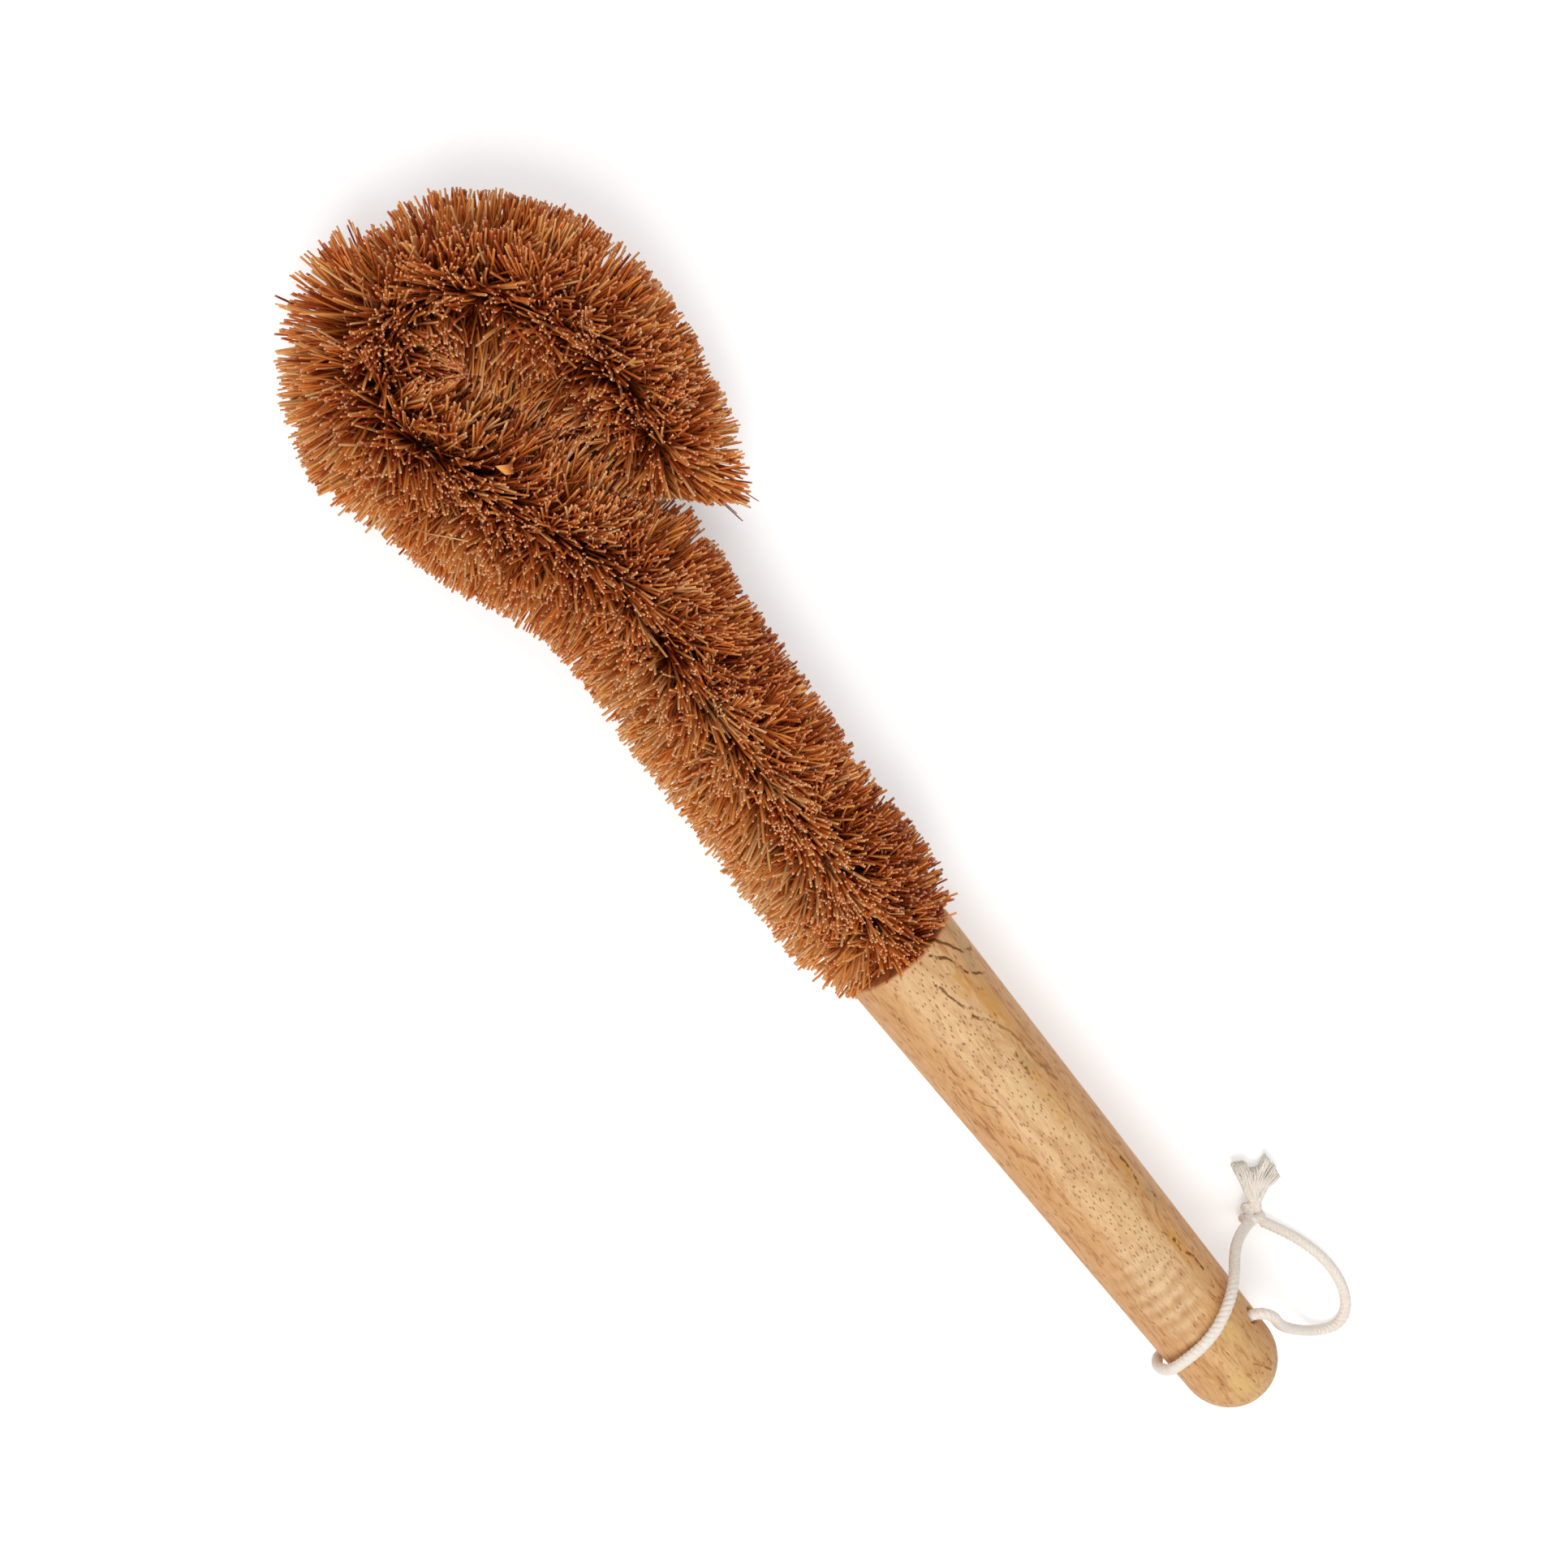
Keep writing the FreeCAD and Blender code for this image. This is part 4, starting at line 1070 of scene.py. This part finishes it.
# Painted light: the frayed ends get a lighter copy of the cotton, making up for the shade their loose
# fibres cast on each other.
PAINTED_LIGHT_FRAYED_COTTON = cotton("frayed_cotton_painted_lighter", (0.99, 0.89, 0.77), (1.0, 0.95, 0.85), 0.9)
placed_turns = [np.array(turn) + HANDLE_END for turn in CORD_TURNS]
route = smooth_route(
    "cord_route", [knot_face(CORD_TURNS[0]), *placed_turns, knot_face(CORD_TURNS[-1])]
)
cord_line = evenly(route, LINE_STEP)
cord_strands = laid_strands(cord_line, CORD_DIAMETER, LAY_PITCH)
cord = sweep_strands("cotton_cord", cord_strands, COTTON, CORD_DIAMETER * STRAND_SHARE, 8)
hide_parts("hanging_cord")
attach(cord, "root")


def on_handle_plan(x, y, height):
    """A place beside the handle, from its flat end and axis, at a height above the floor."""
    return np.array([x + HANDLE_END[0], y + HANDLE_END[1], height])


# The cord is pulled thinner in the knot. Its two ends leave side by side and splay into a heart,
# with loose fibres between them: for each of the three, place and half width halfway and at the end
ROPE_DIAMETER = 2.2
WRAP_DIAMETER = 2.1
FRAYED_FIBRES = 300
FRAYED_DIAMETER = 0.36
KNOT_MIDDLE = on_handle_plan(-105.5, -23.6, 2.85)
NECK = on_handle_plan(-103.2, -26.2, 2.6)
SPLAYED_ENDS = (
    (on_handle_plan(-97.9, -27.2, 2.3), (0.5, 1.2), on_handle_plan(-93.9, -28.2, 2.5), (0.9, 1.2)),
    (on_handle_plan(-100.9, -29.8, 2.3), (1.9, 0.3), on_handle_plan(-99.2, -33.6, 2.5), (3.0, -0.1)),
    (on_handle_plan(-99.6, -28.2, 2.2), (0.7, 1.1), on_handle_plan(-97.2, -29.7, 2.2), (0.8, 1.3)),
)
knot_axis = (NECK - KNOT_MIDDLE) / np.linalg.norm(NECK - KNOT_MIDDLE)
knot_beside = np.array([-knot_axis[1], knot_axis[0], 0.0])
knot_ropes = []
for side, towards in ((1.0, CORD_TURNS[0]), (-1.0, CORD_TURNS[-1])):
    through = KNOT_MIDDLE + knot_beside * side * 0.7
    turns = [knot_face(towards), through, through + knot_axis * 1.8, NECK + knot_axis * 1.6]
    line = evenly(smooth_route("knot_rope", turns), LINE_STEP)
    knot_ropes += laid_strands(line, ROPE_DIAMETER, LAY_PITCH, side)
swing = np.linspace(-2.4, 6.6, 22)
wrap = KNOT_MIDDLE + knot_axis * (np.linspace(-1.9, 1.7, 22)[:, None] - 0.1)
wrap = wrap + knot_beside * 1.9 * np.cos(swing)[:, None] + UP * 1.6 * np.sin(swing)[:, None]
wrap_line = evenly(smooth_route("knot_wrap", wrap), LINE_STEP)
knot_ropes += laid_strands(wrap_line, WRAP_DIAMETER, LAY_PITCH)
knot = sweep_strands("cord_knot_turns", knot_ropes, COTTON, ROPE_DIAMETER * STRAND_SHARE, 8)
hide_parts("cord_knot")
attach(knot, "root")

rng = np.random.default_rng(5)
frayed_lines = []
for middle, middle_width, end, end_width in SPLAYED_ENDS:
    across_middle = np.array([*middle_width, 0.0])
    across_end = np.array([*end_width, 0.0])
    for _ in range(FRAYED_FIBRES):
        aside, lift = rng.uniform(-1.0, 1.0), rng.uniform(-1.0, 1.0)
        lift = lift * math.sqrt(1 - 0.7 * aside**2)
        base = NECK - knot_axis + (knot_beside * aside + UP * lift) * 0.9
        halfway = middle + across_middle * aside + UP * lift * 1.2
        tip = end + across_end * aside + UP * lift * 1.2 + rng.normal(0, 0.22, 3)
        first = (base * 1.1 + halfway * 0.9) / 2 + rng.normal(0, 0.12, 3)
        second = (halfway + tip) / 2 + rng.normal(0, 0.15, 3)
        line = np.array([base, first, halfway, second, tip])
        line[:, 2] = np.maximum(line[:, 2], 0.15)
        frayed_lines.append(line)
frayed = sweep_strands(
    "cord_frayed_ends", frayed_lines, PAINTED_LIGHT_FRAYED_COTTON, FRAYED_DIAMETER, 3, far_end=0.6, spread=0.25
)
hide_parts("cord_knot")
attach(frayed, "root")


# Floor, lamps and camera
# The brush lies on a plain white floor under soft light, seen from above as in the photograph.


def seen_directly(tree):
    """One for what the camera sees, also in gloss and through glass, and none for other light."""
    ray = add_node(tree, "ShaderNodeLightPath").outputs
    gloss = calculate(tree, "MAXIMUM", ray["Is Camera Ray"], ray["Is Glossy Ray"])
    return calculate(tree, "MAXIMUM", gloss, ray["Is Transmission Ray"])


def white_floor():
    """A white floor that keeps the soft shadow and is seen brighter where the lamps don't reach."""
    material, tree, surface = new_material("white_floor")
    place = add_node(tree, "ShaderNodeNewGeometry").outputs["Position"]
    unlit = fade(tree, calculate_vector(tree, "LENGTH", place), 0.5, 1.6)
    shine = calculate(tree, "MULTIPLY_ADD", unlit, 0.3, 0.36)
    glow = calculate(tree, "MULTIPLY", seen_directly(tree), shine)
    white, pale = (1.0, 1.0, 1.0, 1.0), (0.92, 0.92, 0.92, 1.0)
    feed(tree, surface, {"Base Color": pale, "Roughness": 0.9, "Specular IOR Level": 0.1})
    feed(tree, surface, {"Emission Color": white, "Emission Strength": glow})
    return material


floor_mesh = bpy.data.meshes.new("floor")
floor_mesh.from_pydata([(-3, -3, 0), (3, -3, 0), (3, 3, 0), (-3, 3, 0)], [], [(0, 1, 2, 3)])
floor_mesh.materials.append(white_floor())
floor = in_scene("floor", floor_mesh)

# The camera looks down at this place, a little from behind, with the brush's head at the top left
VIEW_CENTRE = np.array([20.733, 4.019, 17.8])
TILT = math.radians(15.0)
VIEW_DISTANCE = 402.0
# The cosine and sine of the camera's turn about its own line of sight
ROLL = (-0.628104, 0.778129)
# Half the photograph's width and the lens's focal length, in the photograph's pixels
HALF_FRAME = 966.0
FOCAL_LENGTH = 2560.0
down = np.array([-math.sin(TILT), 0.0, -math.cos(TILT)])
level = np.array([math.cos(TILT), 0.0, -math.sin(TILT)])
leftward = np.array([0.0, 1.0, 0.0])
right = ROLL[0] * level - ROLL[1] * leftward
upward = ROLL[1] * level + ROLL[0] * leftward
eye = (VIEW_CENTRE - down * VIEW_DISTANCE) * MM
camera_data = bpy.data.cameras.new("camera")
camera_data.sensor_width = 36.0
camera_data.angle = 2 * math.atan(HALF_FRAME / FOCAL_LENGTH)
camera = in_scene("camera", camera_data)
turn = Matrix((right, upward, -down)).transposed()
camera.matrix_world = Matrix.Translation(Vector(eye)) @ turn.to_4x4()
bpy.context.scene.camera = camera


def soft_lamp(name, place, width, power):
    """A square soft box that shines on the middle of the floor."""
    data = bpy.data.lights.new(name, "AREA")
    data.size = width
    data.energy = power
    facing = Vector(place).to_track_quat("Z", "Y").to_matrix().to_4x4()
    in_scene(name, data).matrix_world = Matrix.Translation(Vector(place)) @ facing


soft_lamp("key_lamp", (-0.25, 0.45, 0.95), 0.7, 6.1)
soft_lamp("fill_lamp", (0.7, -0.5, 0.9), 1.0, 3.4)
# The world lights the brush with its own strength, and is seen as white
WORLD_LIGHT = 0.42
world = bpy.data.worlds.new("studio")
world.use_nodes = True
sky = world.node_tree
seen = seen_directly(sky)
backdrop = calculate(sky, "MULTIPLY_ADD", seen, 1.0 - WORLD_LIGHT, WORLD_LIGHT)
white = (1.0, 1.0, 1.0, 1.0)
feed(sky, sky.nodes["Background"], {"Color": white, "Strength": backdrop})
bpy.context.scene.world = world
bpy.context.scene.view_settings.view_transform = "Standard"
